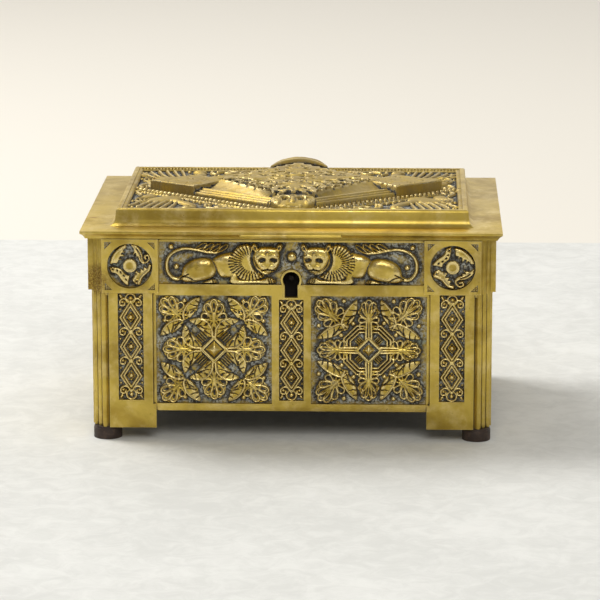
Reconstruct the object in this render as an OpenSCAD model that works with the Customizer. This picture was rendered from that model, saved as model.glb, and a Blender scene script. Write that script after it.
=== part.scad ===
// Brass casket for needles and thread, with relief plates, reeded corner posts,
// a hinged lid with a raised crest, and a small box lock behind the front panel.
// X is the width, -Y is the front, Z is up. The origin is under the middle of the
// case, on the surface that the feet stand on.

/* [Case] */
// Width of the case over the pilasters of its two ends
case_w = 143.6; // [118:0.1:175]
// Depth of the case over the pilasters of its front and back
case_d = 102.6; // [84:0.1:125]
// Height of the corner posts
post_h = 69.3; // [60:0.1:90]
// Drop of the corner posts below the panels
leg_drop = 6.2; // [3:0.1:10]
// Thickness of a panel at its frame
panel_t = 2.6; // [2.4:0.1:3.2]
// Depth of the sunk fields that hold the relief plates
field_depth = 1.5; // [1.1:0.1:1.7]
// Thickness of the floor plate
floor_t = 1.2; // [0.8:0.1:2]

/* [Panel layout] */
// Height of the bottom rail of a panel
rail_bottom = 2.6; // [1.5:0.1:4]
// Height of the rail between the frieze and the rosettes
rail_mid = 4; // [2.5:0.1:5]
// Height of the top rail
rail_top = 0.8; // [0.5:0.1:2]
// Height of the frieze
frieze_h = 15.6; // [12:0.1:18]
// Width of the stiles between two fields
stile_w = 2.6; // [1.5:0.1:4]
// Width of the thin outer stiles
edge_stile = 1.1; // [0.8:0.1:2]
// Width of the interlace strip in the middle of the front and back
centre_w = 8.8; // [7:0.1:12]
// Width of the bead strips beside the rosette of an end panel
bead_strip_w = 2.4; // [1.8:0.1:4]
// Thickness of a relief plate at its ground
relief_t = 1.2; // [0.6:0.1:1.4]

/* [Corner posts] */
// Width of a pilaster
pilaster_w = 15.7; // [13:0.1:18]
// How far a pilaster stands proud of the panels
pilaster_proud = 1; // [0.5:0.1:2]
// How far a pilaster's plinth reaches past it, towards the middle
plinth_out = 1.1; // [0:0.1:2]
// Width of the head of a pilaster
head_w = 20.1; // [18:0.1:22]
// Height of the head of a pilaster
head_h = 19.5; // [18:0.1:22]
// How far the head stands proud of the panels
head_proud = 2.1; // [1.2:0.1:3]
// Legs of the canted corner
cant = 6.5; // [5:0.1:9]
// Number of reeds on the cant
reeds = 3; // [2:1:4]
// Width of the interlace strip in a pilaster
strip_w = 9.1; // [7:0.1:11]
// Radius of the roundel in a head
roundel_r = 8.1; // [6:0.1:8.6]

/* [Lid] */
// Overhang of the lid beyond the pilasters
overhang = 3.2; // [2.4:0.1:7]
// Thickness of the lid's flange
flange_t = 2.9; // [2:0.1:4]
// Width of the flat top of the flange, out to its edge
flange_w = 10.1; // [8:0.1:14]
// Rise of the moulding above the flange
rise_h = 6; // [4:0.1:9]
// Height of the crest above the rim of the lid
crest_h = 5.2; // [4.2:0.1:9]
// Length of the thumb lip on the front edge
lip_l = 35.2; // [20:0.1:50]

/* [Hinges] */
// Radius of the hinge barrels
barrel_r = 1.6; // [1.4:0.05:2]
// Radius of the hinge pins
pin_r = 0.7; // [0.5:0.05:0.9]
// Length of one hinge
hinge_l = 22; // [14:0.5:30]
// Distance from the middle of the case to the middle of a hinge
hinge_x = 30; // [20:0.5:36]

/* [Lock] */
// Height of the keyhole's centre above the foot of the frieze
key_rise = 1.8; // [0.5:0.1:4]
// Radius of the round part of the keyhole
key_r = 3.05; // [2.4:0.05:3.4]
// Width of the keyhole's slot
key_slot_w = 4.6; // [3.5:0.1:5]
// Length of the slot below the keyhole's centre
key_slot_l = 6.4; // [5:0.1:8]
// Travel of the bolt
bolt_travel = 4.5; // [3.5:0.1:5.5]

/* [Feet and lining] */
// Height of the feet
foot_h = 4.6; // [3:0.1:7]
// Radius of the feet
foot_r = 5.1; // [4:0.1:6]
// Thickness of the velvet wall lining
lining_t = 1; // [0.6:0.1:2]
// Thickness of the padded floor lining
floor_pad_t = 3; // [2:0.1:6]

/* [Hidden] */
$fn = 48;
eps = 0.01;
// clearance round a plate that is let into a field
seat_gap = 0.05;
// gap between the lid and the posts, and between the posts and the panels' top
lid_gap = 0.3;
panel_gap = 0.1;
head_over = 2.2;
rim_w = 0.7;
rim_proud = 0.3;

post_z0 = foot_h;
post_z1 = foot_h + post_h;
panel_z0 = foot_h + leg_drop;
panel_z1 = post_z1 - lid_gap;
lid_z0 = post_z1 + lid_gap;
flange_z = lid_z0 + flange_t;
rim_z = flange_z + rise_h;

// distance from the middle to the face of a panel's frame, across and along the case
face_x = case_w / 2 - pilaster_proud;
face_y = case_d / 2 - pilaster_proud;
inner_x = face_x - panel_t;
inner_y = face_y - panel_t;
// half width of the space between the pilasters
half_front = case_w / 2 - cant - pilaster_w - panel_gap;
half_end = case_d / 2 - cant - pilaster_w - panel_gap;

frieze_z1 = panel_z1 - rail_top;
frieze_z0 = frieze_z1 - frieze_h;
key_z = frieze_z0 + key_rise;
field_z1 = frieze_z0 - rail_mid;
field_z0 = panel_z0 + rail_bottom;
frieze_front = half_front - head_over - panel_gap;
frieze_end = half_end - head_over - panel_gap;
centre_z0 = field_z0 + 1.2;
centre_z1 = key_z - key_slot_l - rim_w - 0.1;

// [low along, high along, low z, high z] of each field of the front, back and ends
front_frieze = [-frieze_front, frieze_front, frieze_z0, frieze_z1];
front_left = [-half_front + edge_stile, -centre_w / 2 - stile_w, field_z0, field_z1];
front_right = [centre_w / 2 + stile_w, half_front - edge_stile, field_z0, field_z1];
front_centre = [-centre_w / 2, centre_w / 2, centre_z0, centre_z1];
end_frieze = [-frieze_end, frieze_end, frieze_z0, frieze_z1];
end_rosette_w = 2 * (half_end - edge_stile - bead_strip_w - stile_w);
end_rosette = [-end_rosette_w / 2, end_rosette_w / 2, field_z0, field_z1];
bead_strip = [half_end - edge_stile - bead_strip_w, half_end - edge_stile, field_z0, field_z1];

// a pilaster's window and the centre of its head, measured from the cant's near edge
window_z0 = field_z0 + 1.4;
window_z1 = post_z1 - head_h - 0.4;
head_z = post_z1 - head_h / 2;
pilaster_mid = pilaster_w / 2;
spandrel = 2.6;
spandrel_depth = 0.6;
spandrel_edge = 1.1;
head_chamfer = 1.2;

lid_w = case_w + 2 * overhang;
lid_d = case_d + 2 * overhang;
// distances inwards from the edge of the flange; the underside is flat over the pilasters' heads
under_flat = max(1, overhang - (head_proud - pilaster_proud) - 0.3);
edge_t = 0.8;
rise_u = flange_w + 2.8;
roll = 0.9;
fascia_h = 2.3;
hollow_u = flange_w + 3.8;
rim_u = rise_u + 1.1;
ledge_u = rim_u + 2.5;
plate_t = 1;
ledge_z = rim_z - 1 - plate_t;
ledge_t = 1.2;

hinge_y = face_y + barrel_r + 0.2;
hinge_z = lid_z0 - barrel_r - 0.1;
leaf_case_t = 0.6;
leaf_lid_t = 0.55;
knuckle_gap = 0.15;
pin_clear = 0.06;

stud_r = 0.6;
stud_x = -5.5;
stud_clear = 0.12;
bolt_tail = 2;
bolt_x0 = stud_x - bolt_travel - bolt_tail;
lock_t = 0.8;
lock_gap = 0.2;
lock_w = 2 * (lock_t + lock_gap - bolt_x0);
lock_z0 = key_z - 8.5;
lock_z1 = panel_z1 - 2;
lock_depth = 5.6;
lock_ear = 3.4;
lock_back_y = -inner_y + lock_depth;
screw_r = 0.75;
screw_head_r = 1.5;
key_pin_r = 0.9;
staple_x = 3;
staple_t = 1.5;
staple_y0 = -inner_y + 0.9;
staple_y1 = -inner_y + 4.1;
staple_z0 = lock_z1 - 6.4;
eye_z = staple_z0 + 2.5;
eye_h = 3;
eye_y = 1.8;
bolt_t = 1.2;
bolt_y = (staple_y0 + staple_y1) / 2;
bolt_h = 2.4;
talon_z = key_z + 2;
strike_w = 20;
strike_d = 4.8;
strike_t = 0.7;

foot_inset = 5.3;
foot_x = case_w / 2 - foot_inset;
foot_y = case_d / 2 - foot_inset;
foot_screw_r = 1.1;
foot_head_r = 2.3;
gusset_t = 3;
inner_cant = 5;

brass = "#b8943f";
relief_brass = "#a98a3a";
steel = "#8a8d90";
hide = "#2a1a14";
velvet = "#6a1524";

// ---- helpers ----

// Turns a shape that is drawn on the front face to the back, left or right face.
module on_face(side) {
  turn = side == "front" ? 0 : side == "right" ? 90 : side == "back" ? 180 : 270;
  rotate([0, 0, turn]) children();
}

// A block over a field, from one distance out from the middle to another.
module field_block(field, y0, y1, grow = 0) {
  translate([field[0] - grow, -y1, field[2] - grow])
    cube([field[1] - field[0] + 2 * grow, y1 - y0, field[3] - field[2] + 2 * grow]);
}

// The keyhole, as a hole along Y, grown by a rim width.
module keyhole(y0, y1, grow = 0) {
  translate([0, y1, key_z]) rotate([90, 0, 0]) linear_extrude(y1 - y0) {
    circle(r = key_r + grow);
    translate([-key_slot_w / 2 - grow, -key_slot_l - grow])
      square([key_slot_w + 2 * grow, key_slot_l + grow]);
  }
}

// A panel seen from the front: a plate with sunk fields.
module panel(half_w, face, fields) {
  difference() {
    translate([-half_w, -face, panel_z0]) cube([2 * half_w, panel_t, panel_z1 - panel_z0]);
    for (f = fields) field_block(f, face - field_depth, face + 1);
  }
}

// A relief plate that lies in a field of a panel.
module relief_plate(field, face) {
  floor_y = face - field_depth;
  field_block(field, floor_y, floor_y + relief_t, -seat_gap);
}

// ---- case panels ----

module front_panel() {
  color(brass) difference() {
    union() {
      panel(half_front, face_y, [front_frieze, front_left, front_right, front_centre]);
      keyhole(-face_y - rim_proud, -face_y + panel_t / 2, rim_w);
    }
    keyhole(-face_y - 2, -inner_y + 1);
    lock_screw_places() translate([0, -inner_y + eps, 0]) rotate([90, 0, 0])
      cylinder(r = screw_r + seat_gap, h = 0.8);
  }
}

module back_panel() {
  color(brass) difference() {
    on_face("back") panel(half_front, face_y, [front_frieze, front_left, front_right, front_centre]);
    for (x = [-hinge_x, hinge_x])
      translate([x - hinge_l / 2 - seat_gap, 0, hinge_leaf_z0() - seat_gap])
        cube([hinge_l + 2 * seat_gap, face_y + 1, 5]);
  }
}

module end_panel(side) {
  mirrored = [-bead_strip[1], -bead_strip[0], bead_strip[2], bead_strip[3]];
  color(brass) on_face(side)
    panel(half_end, face_x, [end_frieze, end_rosette, bead_strip, mirrored]);
}

// ---- corner posts ----

// One face of a post, from the cant's near edge inwards. The pilaster's edge is at x = 0.
module pilaster_face(face, inner) {
  difference() {
    union() {
      translate([0, -face - pilaster_proud, post_z0])
        cube([pilaster_w, pilaster_proud + face - inner, post_h]);
      translate([pilaster_mid - head_w / 2, -face - head_proud, post_z1 - head_h])
        cube([head_w, head_proud, head_h]);
      translate([pilaster_w - eps, -face - pilaster_proud, post_z0])
        cube([plinth_out + eps, pilaster_proud - seat_gap, field_z0 - post_z0]);
    }
    translate([pilaster_mid - strip_w / 2, -face - pilaster_proud - 1, window_z0])
      cube([strip_w, field_depth + 1, window_z1 - window_z0]);
    translate([pilaster_mid, -face, head_z]) rotate([90, 0, 0])
      cylinder(r = roundel_r, h = head_proud + 1);
    for (sx = [-1, 1], sz = [-1, 1])
      translate([pilaster_mid + sx * (head_w / 2 - spandrel_edge), -face - head_proud + spandrel_depth,
                 head_z + sz * (head_h / 2 - spandrel_edge)])
        rotate([90, 0, 0]) linear_extrude(spandrel_depth + 1)
          polygon([[0, 0], [-sx * spandrel, 0], [0, -sz * spandrel]]);
  }
}

// The core, the reeded cant and the plain canted head of the front left post.
module post_corner() {
  x1 = -case_w / 2 + cant;
  y1 = -case_d / 2 + cant;
  groove = 0.9;
  head_out = 1;
  core = [
    [x1, -inner_y], [x1, -case_d / 2 + groove + 0.3], [x1 - groove, -case_d / 2 + groove],
    [-case_w / 2 + groove, y1 - groove], [-case_w / 2 + groove + 0.3, y1], [-inner_x, y1],
    [-inner_x, -inner_y + inner_cant], [-inner_x + inner_cant, -inner_y]
  ];
  translate([0, 0, post_z0]) linear_extrude(post_h) polygon(core);
  reach = cant - 2 * groove;
  reed_r = reach * sqrt(2) / reeds / 2;
  for (i = [0 : reeds - 1]) {
    t = (i + 0.5) / reeds;
    translate([x1 - groove - reach * t, -case_d / 2 + groove + reach * t, post_z0])
      cylinder(r = reed_r, h = post_h);
  }
  for (step = [0, 1]) {
    out = head_out * (step + 1) / 2;
    z0 = post_z1 - head_h - head_chamfer * (step == 0 ? 1 : 0.4);
    translate([0, 0, z0]) linear_extrude(post_z1 - z0) polygon([
      [x1 - 0.2, -inner_y - 1], [x1 - 0.2, -case_d / 2 - out + groove],
      [x1 - groove, -case_d / 2 - out + groove], [-case_w / 2 - out + groove, y1 - groove],
      [-case_w / 2 - out + groove, y1 - 0.2], [-inner_x - 1, y1 - 0.2]
    ]);
  }
}

// Web at the foot of a post, that the foot is screwed to.
module gusset() {
  translate([0, 0, post_z0]) linear_extrude(gusset_t) polygon([
    [-inner_x - eps, -inner_y - eps], [-inner_x + 11, -inner_y - eps],
    [-inner_x + 11, -inner_y + 3], [-inner_x + 3, -inner_y + 11], [-inner_x - eps, -inner_y + 11]
  ]);
}

module front_left_post() {
  difference() {
    union() {
      translate([-case_w / 2 + cant, 0, 0]) pilaster_face(face_y, inner_y);
      mirror([1, 0, 0]) rotate([0, 0, 90]) translate([-case_d / 2 + cant, 0, 0])
        pilaster_face(face_x, inner_x);
      post_corner();
      gusset();
    }
    translate([-foot_x, -foot_y, post_z0 - 1]) cylinder(r = foot_screw_r + seat_gap, h = gusset_t + 2);
  }
}

module corner_post(right, back) {
  color(brass) mirror([right, 0, 0]) mirror([0, back, 0]) front_left_post();
}

// ---- relief plates ----

module rosette_plate(field, side) {
  color(relief_brass) on_face(side) relief_plate(field, side == "left" || side == "right" ? face_x : face_y);
}

module frieze_plate_front() {
  color(relief_brass) difference() {
    relief_plate(front_frieze, face_y);
    keyhole(-face_y - 2, -inner_y + 1, rim_w + seat_gap);
  }
}

// Places of the two pilasters of a face, as seen from outside.
module at_pilasters(half_out) {
  for (s = [-1, 1]) translate([s * (half_out - cant - pilaster_mid), 0, 0]) children();
}

module roundels(side, face, half_out) {
  color(relief_brass) on_face(side) at_pilasters(half_out)
    translate([0, -face, head_z]) rotate([90, 0, 0]) cylinder(r = roundel_r - seat_gap, h = relief_t);
}

module pilaster_strips(side, face, half_out) {
  floor_y = face + pilaster_proud - field_depth;
  color(relief_brass) on_face(side) at_pilasters(half_out)
    field_block([-strip_w / 2, strip_w / 2, window_z0, window_z1], floor_y, floor_y + relief_t, -seat_gap);
}

module bead_strips(side) {
  color(relief_brass) on_face(side) for (s = [0, 1]) mirror([s, 0, 0]) relief_plate(bead_strip, face_x);
}

// ---- floor, feet, lining ----

// A rectangle with its corners cut off, in plan.
module cut_plan(half_x, half_y, cut) {
  polygon([
    [-half_x + cut, -half_y], [half_x - cut, -half_y], [half_x, -half_y + cut], [half_x, half_y - cut],
    [half_x - cut, half_y], [-half_x + cut, half_y], [-half_x, half_y - cut], [-half_x, -half_y + cut]
  ]);
}

module floor_plate() {
  color(brass) translate([0, 0, panel_z0]) linear_extrude(floor_t) cut_plan(inner_x, inner_y, inner_cant);
}

module foot(sx, sy) {
  color(hide) translate([sx * foot_x, sy * foot_y, 0]) difference() {
    union() {
      cylinder(r = foot_r, h = foot_h - 0.8);
      translate([0, 0, foot_h - 0.8]) cylinder(r = foot_r - 0.25, h = 0.8);
    }
    translate([0, 0, -1]) cylinder(r = foot_screw_r + seat_gap, h = foot_h + 2);
    translate([0, 0, -1]) cylinder(r = foot_head_r + 0.1, h = 2.6);
  }
}

module foot_screws() {
  color(brass) for (sx = [-1, 1], sy = [-1, 1]) translate([sx * foot_x, sy * foot_y, 0.6])
    difference() {
      union() {
        cylinder(r = foot_head_r, h = 1);
        cylinder(r = foot_screw_r, h = foot_h + gusset_t - 1);
      }
      translate([-foot_head_r - 1, -0.3, -1]) cube([2 * foot_head_r + 2, 0.6, 1.4]);
    }
}

module floor_lining() {
  color(velvet) translate([0, 0, panel_z0 + floor_t])
    linear_extrude(floor_pad_t) cut_plan(inner_x - seat_gap, inner_y - seat_gap, inner_cant + 0.1);
}

// Four velvet boards that stand on the floor lining. The front one is cut out for the lock.
module wall_lining() {
  z0 = panel_z0 + floor_t + floor_pad_t + seat_gap;
  z1 = panel_z1 - 1.2;
  half_x = inner_x - inner_cant - lining_t;
  half_y = inner_y - inner_cant - lining_t;
  color(velvet) {
    difference() {
      translate([-half_x, -inner_y + seat_gap, z0]) cube([2 * half_x, lining_t, z1 - z0]);
      translate([-lock_w / 2 - lock_ear - 0.4, -inner_y - 1, lock_z0 - 0.4])
        cube([lock_w + 2 * lock_ear + 0.8, lining_t + 2, 40]);
    }
    translate([-half_x, inner_y - seat_gap - lining_t, z0]) cube([2 * half_x, lining_t, z1 - z0]);
    for (s = [0, 1]) mirror([s, 0, 0])
      translate([-inner_x + seat_gap, -half_y, z0]) cube([lining_t, 2 * half_y, z1 - z0]);
  }
}

// ---- hinges ----

function hinge_leaf_z0() = lid_z0 - leaf_lid_t - 0.25 - leaf_case_t;

knuckle_l = hinge_l / 3;

module barrel(x0, x1, bore) {
  translate([x0, hinge_y, hinge_z]) rotate([0, 90, 0]) difference() {
    cylinder(r = barrel_r, h = x1 - x0);
    translate([0, 0, -1]) cylinder(r = bore, h = x1 - x0 + 2);
  }
}

module hinge_case_leaf(s) {
  z0 = hinge_leaf_z0();
  half = hinge_l / 2;
  mid = knuckle_l / 2 + knuckle_gap;
  color(brass) translate([s * hinge_x, 0, 0]) {
    difference() {
      union() {
        translate([-half, inner_y, z0]) cube([hinge_l, face_y - inner_y - 0.1, leaf_case_t]);
        for (side = [-1, 1]) translate([side < 0 ? -half : mid, face_y - 0.2, z0])
          cube([half - mid, barrel_r + 0.4, leaf_case_t]);
      }
      translate([-half - 1, hinge_y, hinge_z]) rotate([0, 90, 0]) cylinder(r = barrel_r - 0.3, h = hinge_l + 2);
    }
    barrel(-half, -mid, pin_r + 0.01);
    barrel(mid, half, pin_r + 0.01);
  }
}

module hinge_lid_leaf(s) {
  half = hinge_l / 2;
  mid = knuckle_l / 2 - knuckle_gap;
  color(brass) translate([s * hinge_x, 0, 0]) {
    difference() {
      union() {
        translate([-half, inner_y - 4, lid_z0 - leaf_lid_t])
          cube([hinge_l, face_y - inner_y + 4, leaf_lid_t]);
        translate([-mid, face_y - 0.1, lid_z0 - leaf_lid_t]) cube([2 * mid, barrel_r + 0.3, leaf_lid_t]);
      }
      translate([-half - 1, hinge_y, hinge_z]) rotate([0, 90, 0]) cylinder(r = barrel_r - 0.3, h = hinge_l + 2);
    }
    barrel(-mid, mid, pin_r + pin_clear);
  }
}

module hinge_pin(s) {
  color(steel) translate([s * hinge_x - hinge_l / 2, hinge_y, hinge_z]) rotate([0, 90, 0])
    cylinder(r = pin_r, h = hinge_l);
}

// ---- lock ----

module lock_screw_places() {
  for (sx = [-1, 1], z = [lock_z0 + 2.2, lock_z1 - 2.2])
    translate([sx * (lock_w / 2 + lock_ear / 2), 0, z]) children();
}

// A pressed case, open towards the front panel, with an ear at each end.
module lock_case() {
  height = lock_z1 - lock_z0;
  color(steel) difference() {
    union() {
      difference() {
        translate([-lock_w / 2, -inner_y, lock_z0]) cube([lock_w, lock_depth, height]);
        translate([-lock_w / 2 + lock_t, -inner_y - 1, lock_z0 + lock_t])
          cube([lock_w - 2 * lock_t, lock_depth + 1 - lock_t, height - 2 * lock_t]);
      }
      for (s = [0, 1]) mirror([s, 0, 0])
        translate([lock_w / 2 - eps, -inner_y, lock_z0]) cube([lock_ear, lock_t, height]);
      translate([stud_x, lock_back_y - lock_t / 2, eye_z]) rotate([90, 0, 0])
        cylinder(r = stud_r, h = lock_depth - lock_t / 2 - 0.6);
    }
    lock_screw_places() translate([0, -inner_y - 1, 0]) rotate([-90, 0, 0])
      cylinder(r = screw_r + seat_gap, h = lock_t + 2);
    translate([staple_x - 0.6, staple_y0 - 0.6, lock_z1 - lock_t - 1])
      cube([staple_t + 1.2, staple_y1 - staple_y0 + 1.2, 4]);
    translate([0, lock_back_y - lock_t - 1, key_z]) rotate([-90, 0, 0])
      cylinder(r = key_pin_r + seat_gap, h = lock_t + 2);
  }
}

module lock_key_pin() {
  color(steel) translate([0, lock_back_y + 0.3, key_z]) rotate([90, 0, 0])
    cylinder(r = key_pin_r, h = lock_depth - 0.5);
}

// The bolt: a bar with a slot over the guide stud, and a talon for the key.
module lock_bolt() {
  talon_x = bolt_x0 + 1;
  talon_w = 7;
  notch_r = 1.5;
  color(steel) translate([0, bolt_y + bolt_t / 2, 0]) rotate([90, 0, 0]) linear_extrude(bolt_t) difference() {
    union() {
      translate([bolt_x0, eye_z - bolt_h / 2]) square([staple_x - 1 - bolt_x0, bolt_h]);
      translate([talon_x, talon_z]) square([talon_w, eye_z - talon_z]);
    }
    for (x = [stud_x, stud_x - bolt_travel]) translate([x, eye_z]) circle(r = stud_r + stud_clear);
    translate([stud_x - bolt_travel, eye_z - stud_r - stud_clear])
      square([bolt_travel, 2 * (stud_r + stud_clear)]);
    translate([talon_x + talon_w * 0.6, talon_z]) circle(r = notch_r);
  }
}

// A leaf spring under the top of the lock case, that bears on the bolt.
module lock_spring() {
  top = lock_z1 - lock_t;
  drop = top - eye_z - bolt_h / 2 - 0.05;
  leaf = 0.3;
  x0 = -lock_w / 2 + lock_t;
  x1 = -7;
  x2 = -1;
  color(steel) translate([0, bolt_y + bolt_t / 2, 0]) rotate([90, 0, 0]) linear_extrude(bolt_t)
    polygon([[x0, top], [x0, top - leaf], [x1, top - drop], [x2, top - drop / 3],
             [x2, top - drop / 3 + leaf], [x1, top - drop + leaf], [x0 + 1.2, top]]);
}

module lock_screws() {
  color(steel) lock_screw_places() translate([0, -inner_y - 0.7, 0]) rotate([-90, 0, 0]) difference() {
    union() {
      cylinder(r = screw_r, h = 0.7 + lock_t + 0.5);
      translate([0, 0, 0.7 + lock_t]) cylinder(r = screw_head_r, h = 0.7);
    }
    translate([-2, -0.15, 0.7 + lock_t + 0.4]) cube([4, 0.3, 2]);
  }
}

// ---- lid ----

// A closed outline, [distance in from the edge, height], led round a rectangle with mitred corners.
module mitred_frame(w, d, outline) {
  n = len(outline);
  corners = [[-1, -1], [1, -1], [1, 1], [-1, 1]];
  points = [for (c = corners, p = outline) [c[0] * (w / 2 - p[0]), c[1] * (d / 2 - p[0]), p[1]]];
  faces = [for (k = [0 : 3], i = [0 : n - 1])
    [k * n + i, k * n + (i + 1) % n, ((k + 1) % 4) * n + (i + 1) % n, ((k + 1) % 4) * n + i]];
  polyhedron(points = points, faces = faces);
}

// Points of a quarter round from one point to another, bulging by a share of the way.
function bowed(a, b, bow, steps) = [for (i = [0 : steps])
  let (t = i / steps, side = [-(b[1] - a[1]), b[0] - a[0]]) a + (b - a) * t + side * bow * sin(180 * t)];

lid_outline = concat(
  [[0, flange_z], [0, flange_z - edge_t]],
  bowed([0.2, flange_z - edge_t - 0.2], [under_flat, lid_z0], 0.08, 5),
  [[hollow_u, lid_z0], [hollow_u, ledge_z - ledge_t], [ledge_u, ledge_z - ledge_t],
   [ledge_u, ledge_z], [rim_u, ledge_z], [rim_u, rim_z]],
  bowed([rise_u, rim_z], [rise_u - roll, rim_z - roll], -0.2, 4),
  bowed([rise_u - roll - 0.2, rim_z - roll - fascia_h], [flange_w, flange_z], 0.14, 6)
);

module lid_frame() {
  lip_r = 0.75;
  lip_proud = 0.35;
  color(brass) {
    mitred_frame(lid_w, lid_d, lid_outline);
    translate([0, -lid_d / 2 + lip_r - lip_proud, flange_z - edge_t - lip_r + 0.15]) {
      rotate([0, 90, 0]) cylinder(r = lip_r, h = lip_l, center = true);
      for (s = [-1, 1]) translate([s * lip_l / 2, 0, 0]) sphere(r = lip_r);
    }
  }
}

module lid_plate() {
  color(relief_brass) translate([0, 0, ledge_z]) linear_extrude(plate_t)
    square([lid_w - 2 * rim_u - 2 * seat_gap, lid_d - 2 * rim_u - 2 * seat_gap], center = true);
}

// Half diagonals of the crest's base, of its raised middle, and of its end blocks.
crest_x = lid_w / 2 - rim_u - 7;
crest_y = lid_d / 2 - rim_u - 2;
crest_base = 1.2;
middle_x = crest_x * 0.63;
middle_y = crest_y * 0.94;
block_rx = 10.4;
block_ry = 8.5;
block_x = crest_x - 15;
block_h = 3;
// the lobes at the front and the back of the crest
front_lobe_r = 8.4;
front_lobe_h = 2.4;
back_lobe_r = 9.5;
back_lobe_h = 3.9;

module lozenge(half_x, half_y) {
  polygon([[-half_x, 0], [0, -half_y], [half_x, 0], [0, half_y]]);
}

module lid_crest() {
  base_z = ledge_z + plate_t;
  color(relief_brass) {
    translate([0, 0, base_z]) linear_extrude(rim_z + crest_base - base_z) lozenge(crest_x, crest_y);
    translate([0, 0, rim_z]) linear_extrude(crest_h, scale = 0.82) lozenge(middle_x, middle_y);
    for (s = [-1, 1]) translate([s * block_x, 0, base_z]) linear_extrude(rim_z + block_h - base_z)
      lozenge(block_rx, block_ry);
    translate([0, -(lid_d / 2 - rim_u - front_lobe_r - 1), base_z])
      cylinder(r = front_lobe_r, h = rim_z + front_lobe_h - base_z);
    translate([0, lid_d / 2 - rim_u - back_lobe_r - 1, base_z])
      cylinder(r = back_lobe_r, h = rim_z + back_lobe_h - base_z);
  }
}

module lid_pad() {
  color(velvet) translate([0, 0, lid_z0 + 0.4]) linear_extrude(ledge_z - ledge_t - lid_z0 - 0.5)
    square([lid_w - 2 * hollow_u - 1, lid_d - 2 * hollow_u - 1], center = true);
}

module strike_plate() {
  y0 = -inner_y + 0.35;
  color(steel) difference() {
    union() {
      translate([-strike_w / 2, y0, lid_z0 - strike_t]) cube([strike_w, strike_d, strike_t]);
      translate([staple_x, staple_y0, staple_z0])
        cube([staple_t, staple_y1 - staple_y0, lid_z0 - strike_t / 2 - staple_z0]);
    }
    translate([staple_x - 1, bolt_y - eye_y / 2, eye_z - eye_h / 2]) cube([staple_t + 2, eye_y, eye_h]);
    strike_screw_places() translate([0, 0, -2]) cylinder(r = screw_r + seat_gap, h = 4);
  }
}

module strike_screw_places() {
  for (s = [-1, 1]) translate([s * (strike_w / 2 - 2), -inner_y + 0.35 + strike_d / 2, lid_z0 - strike_t])
    children();
}

module strike_screws() {
  color(steel) strike_screw_places() difference() {
    union() {
      translate([0, 0, -0.5]) cylinder(r = screw_head_r, h = 0.5);
      translate([0, 0, -0.2]) cylinder(r = screw_r, h = strike_t + 0.1);
    }
    translate([-2, -0.15, -0.8]) cube([4, 0.3, 0.5]);
  }
}

front_panel();
back_panel();
end_panel("left");  // left_panel
end_panel("right");  // right_panel
corner_post(0, 0);  // corner_post_front_left
corner_post(1, 0);  // corner_post_front_right
corner_post(0, 1);  // corner_post_back_left
corner_post(1, 1);  // corner_post_back_right
frieze_plate_front();
rosette_plate(front_frieze, "back");  // frieze_plate_back
rosette_plate(end_frieze, "left");  // frieze_plate_left
rosette_plate(end_frieze, "right");  // frieze_plate_right
rosette_plate(front_left, "front");  // rosette_plate_front_left
rosette_plate(front_right, "front");  // rosette_plate_front_right
rosette_plate(front_right, "back");  // rosette_plate_back_left
rosette_plate(front_left, "back");  // rosette_plate_back_right
rosette_plate(end_rosette, "left");  // rosette_plate_left
rosette_plate(end_rosette, "right");  // rosette_plate_right
rosette_plate(front_centre, "front");  // interlace_plate_front
rosette_plate(front_centre, "back");  // interlace_plate_back
bead_strips("left");  // bead_strips_left
bead_strips("right");  // bead_strips_right
roundels("front", face_y, case_w / 2);  // roundels_front
roundels("back", face_y, case_w / 2);  // roundels_back
roundels("left", face_x, case_d / 2);  // roundels_left
roundels("right", face_x, case_d / 2);  // roundels_right
pilaster_strips("front", face_y, case_w / 2);  // pilaster_strips_front
pilaster_strips("back", face_y, case_w / 2);  // pilaster_strips_back
pilaster_strips("left", face_x, case_d / 2);  // pilaster_strips_left
pilaster_strips("right", face_x, case_d / 2);  // pilaster_strips_right
floor_plate();
foot(-1, -1);  // foot_front_left
foot(1, -1);  // foot_front_right
foot(-1, 1);  // foot_back_left
foot(1, 1);  // foot_back_right
foot_screws();
floor_lining();
wall_lining();
hinge_case_leaf(-1);  // hinge_case_leaf_left
hinge_case_leaf(1);  // hinge_case_leaf_right
hinge_pin(-1);  // hinge_pin_left
hinge_pin(1);  // hinge_pin_right
lock_case();
lock_key_pin();
lock_spring();
lock_screws();
lock_bolt();
lid_frame();
lid_plate();
lid_crest();
lid_pad();
strike_plate();
strike_screws();
hinge_lid_leaf(-1);  // hinge_lid_leaf_left
hinge_lid_leaf(1);  // hinge_lid_leaf_right
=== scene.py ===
"""Looks of a small brass casket: relief plates, worn castings, velvet lining, and its stage."""

import itertools
import math

import bpy
import numpy as np
from mathutils import Matrix, Vector


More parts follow.
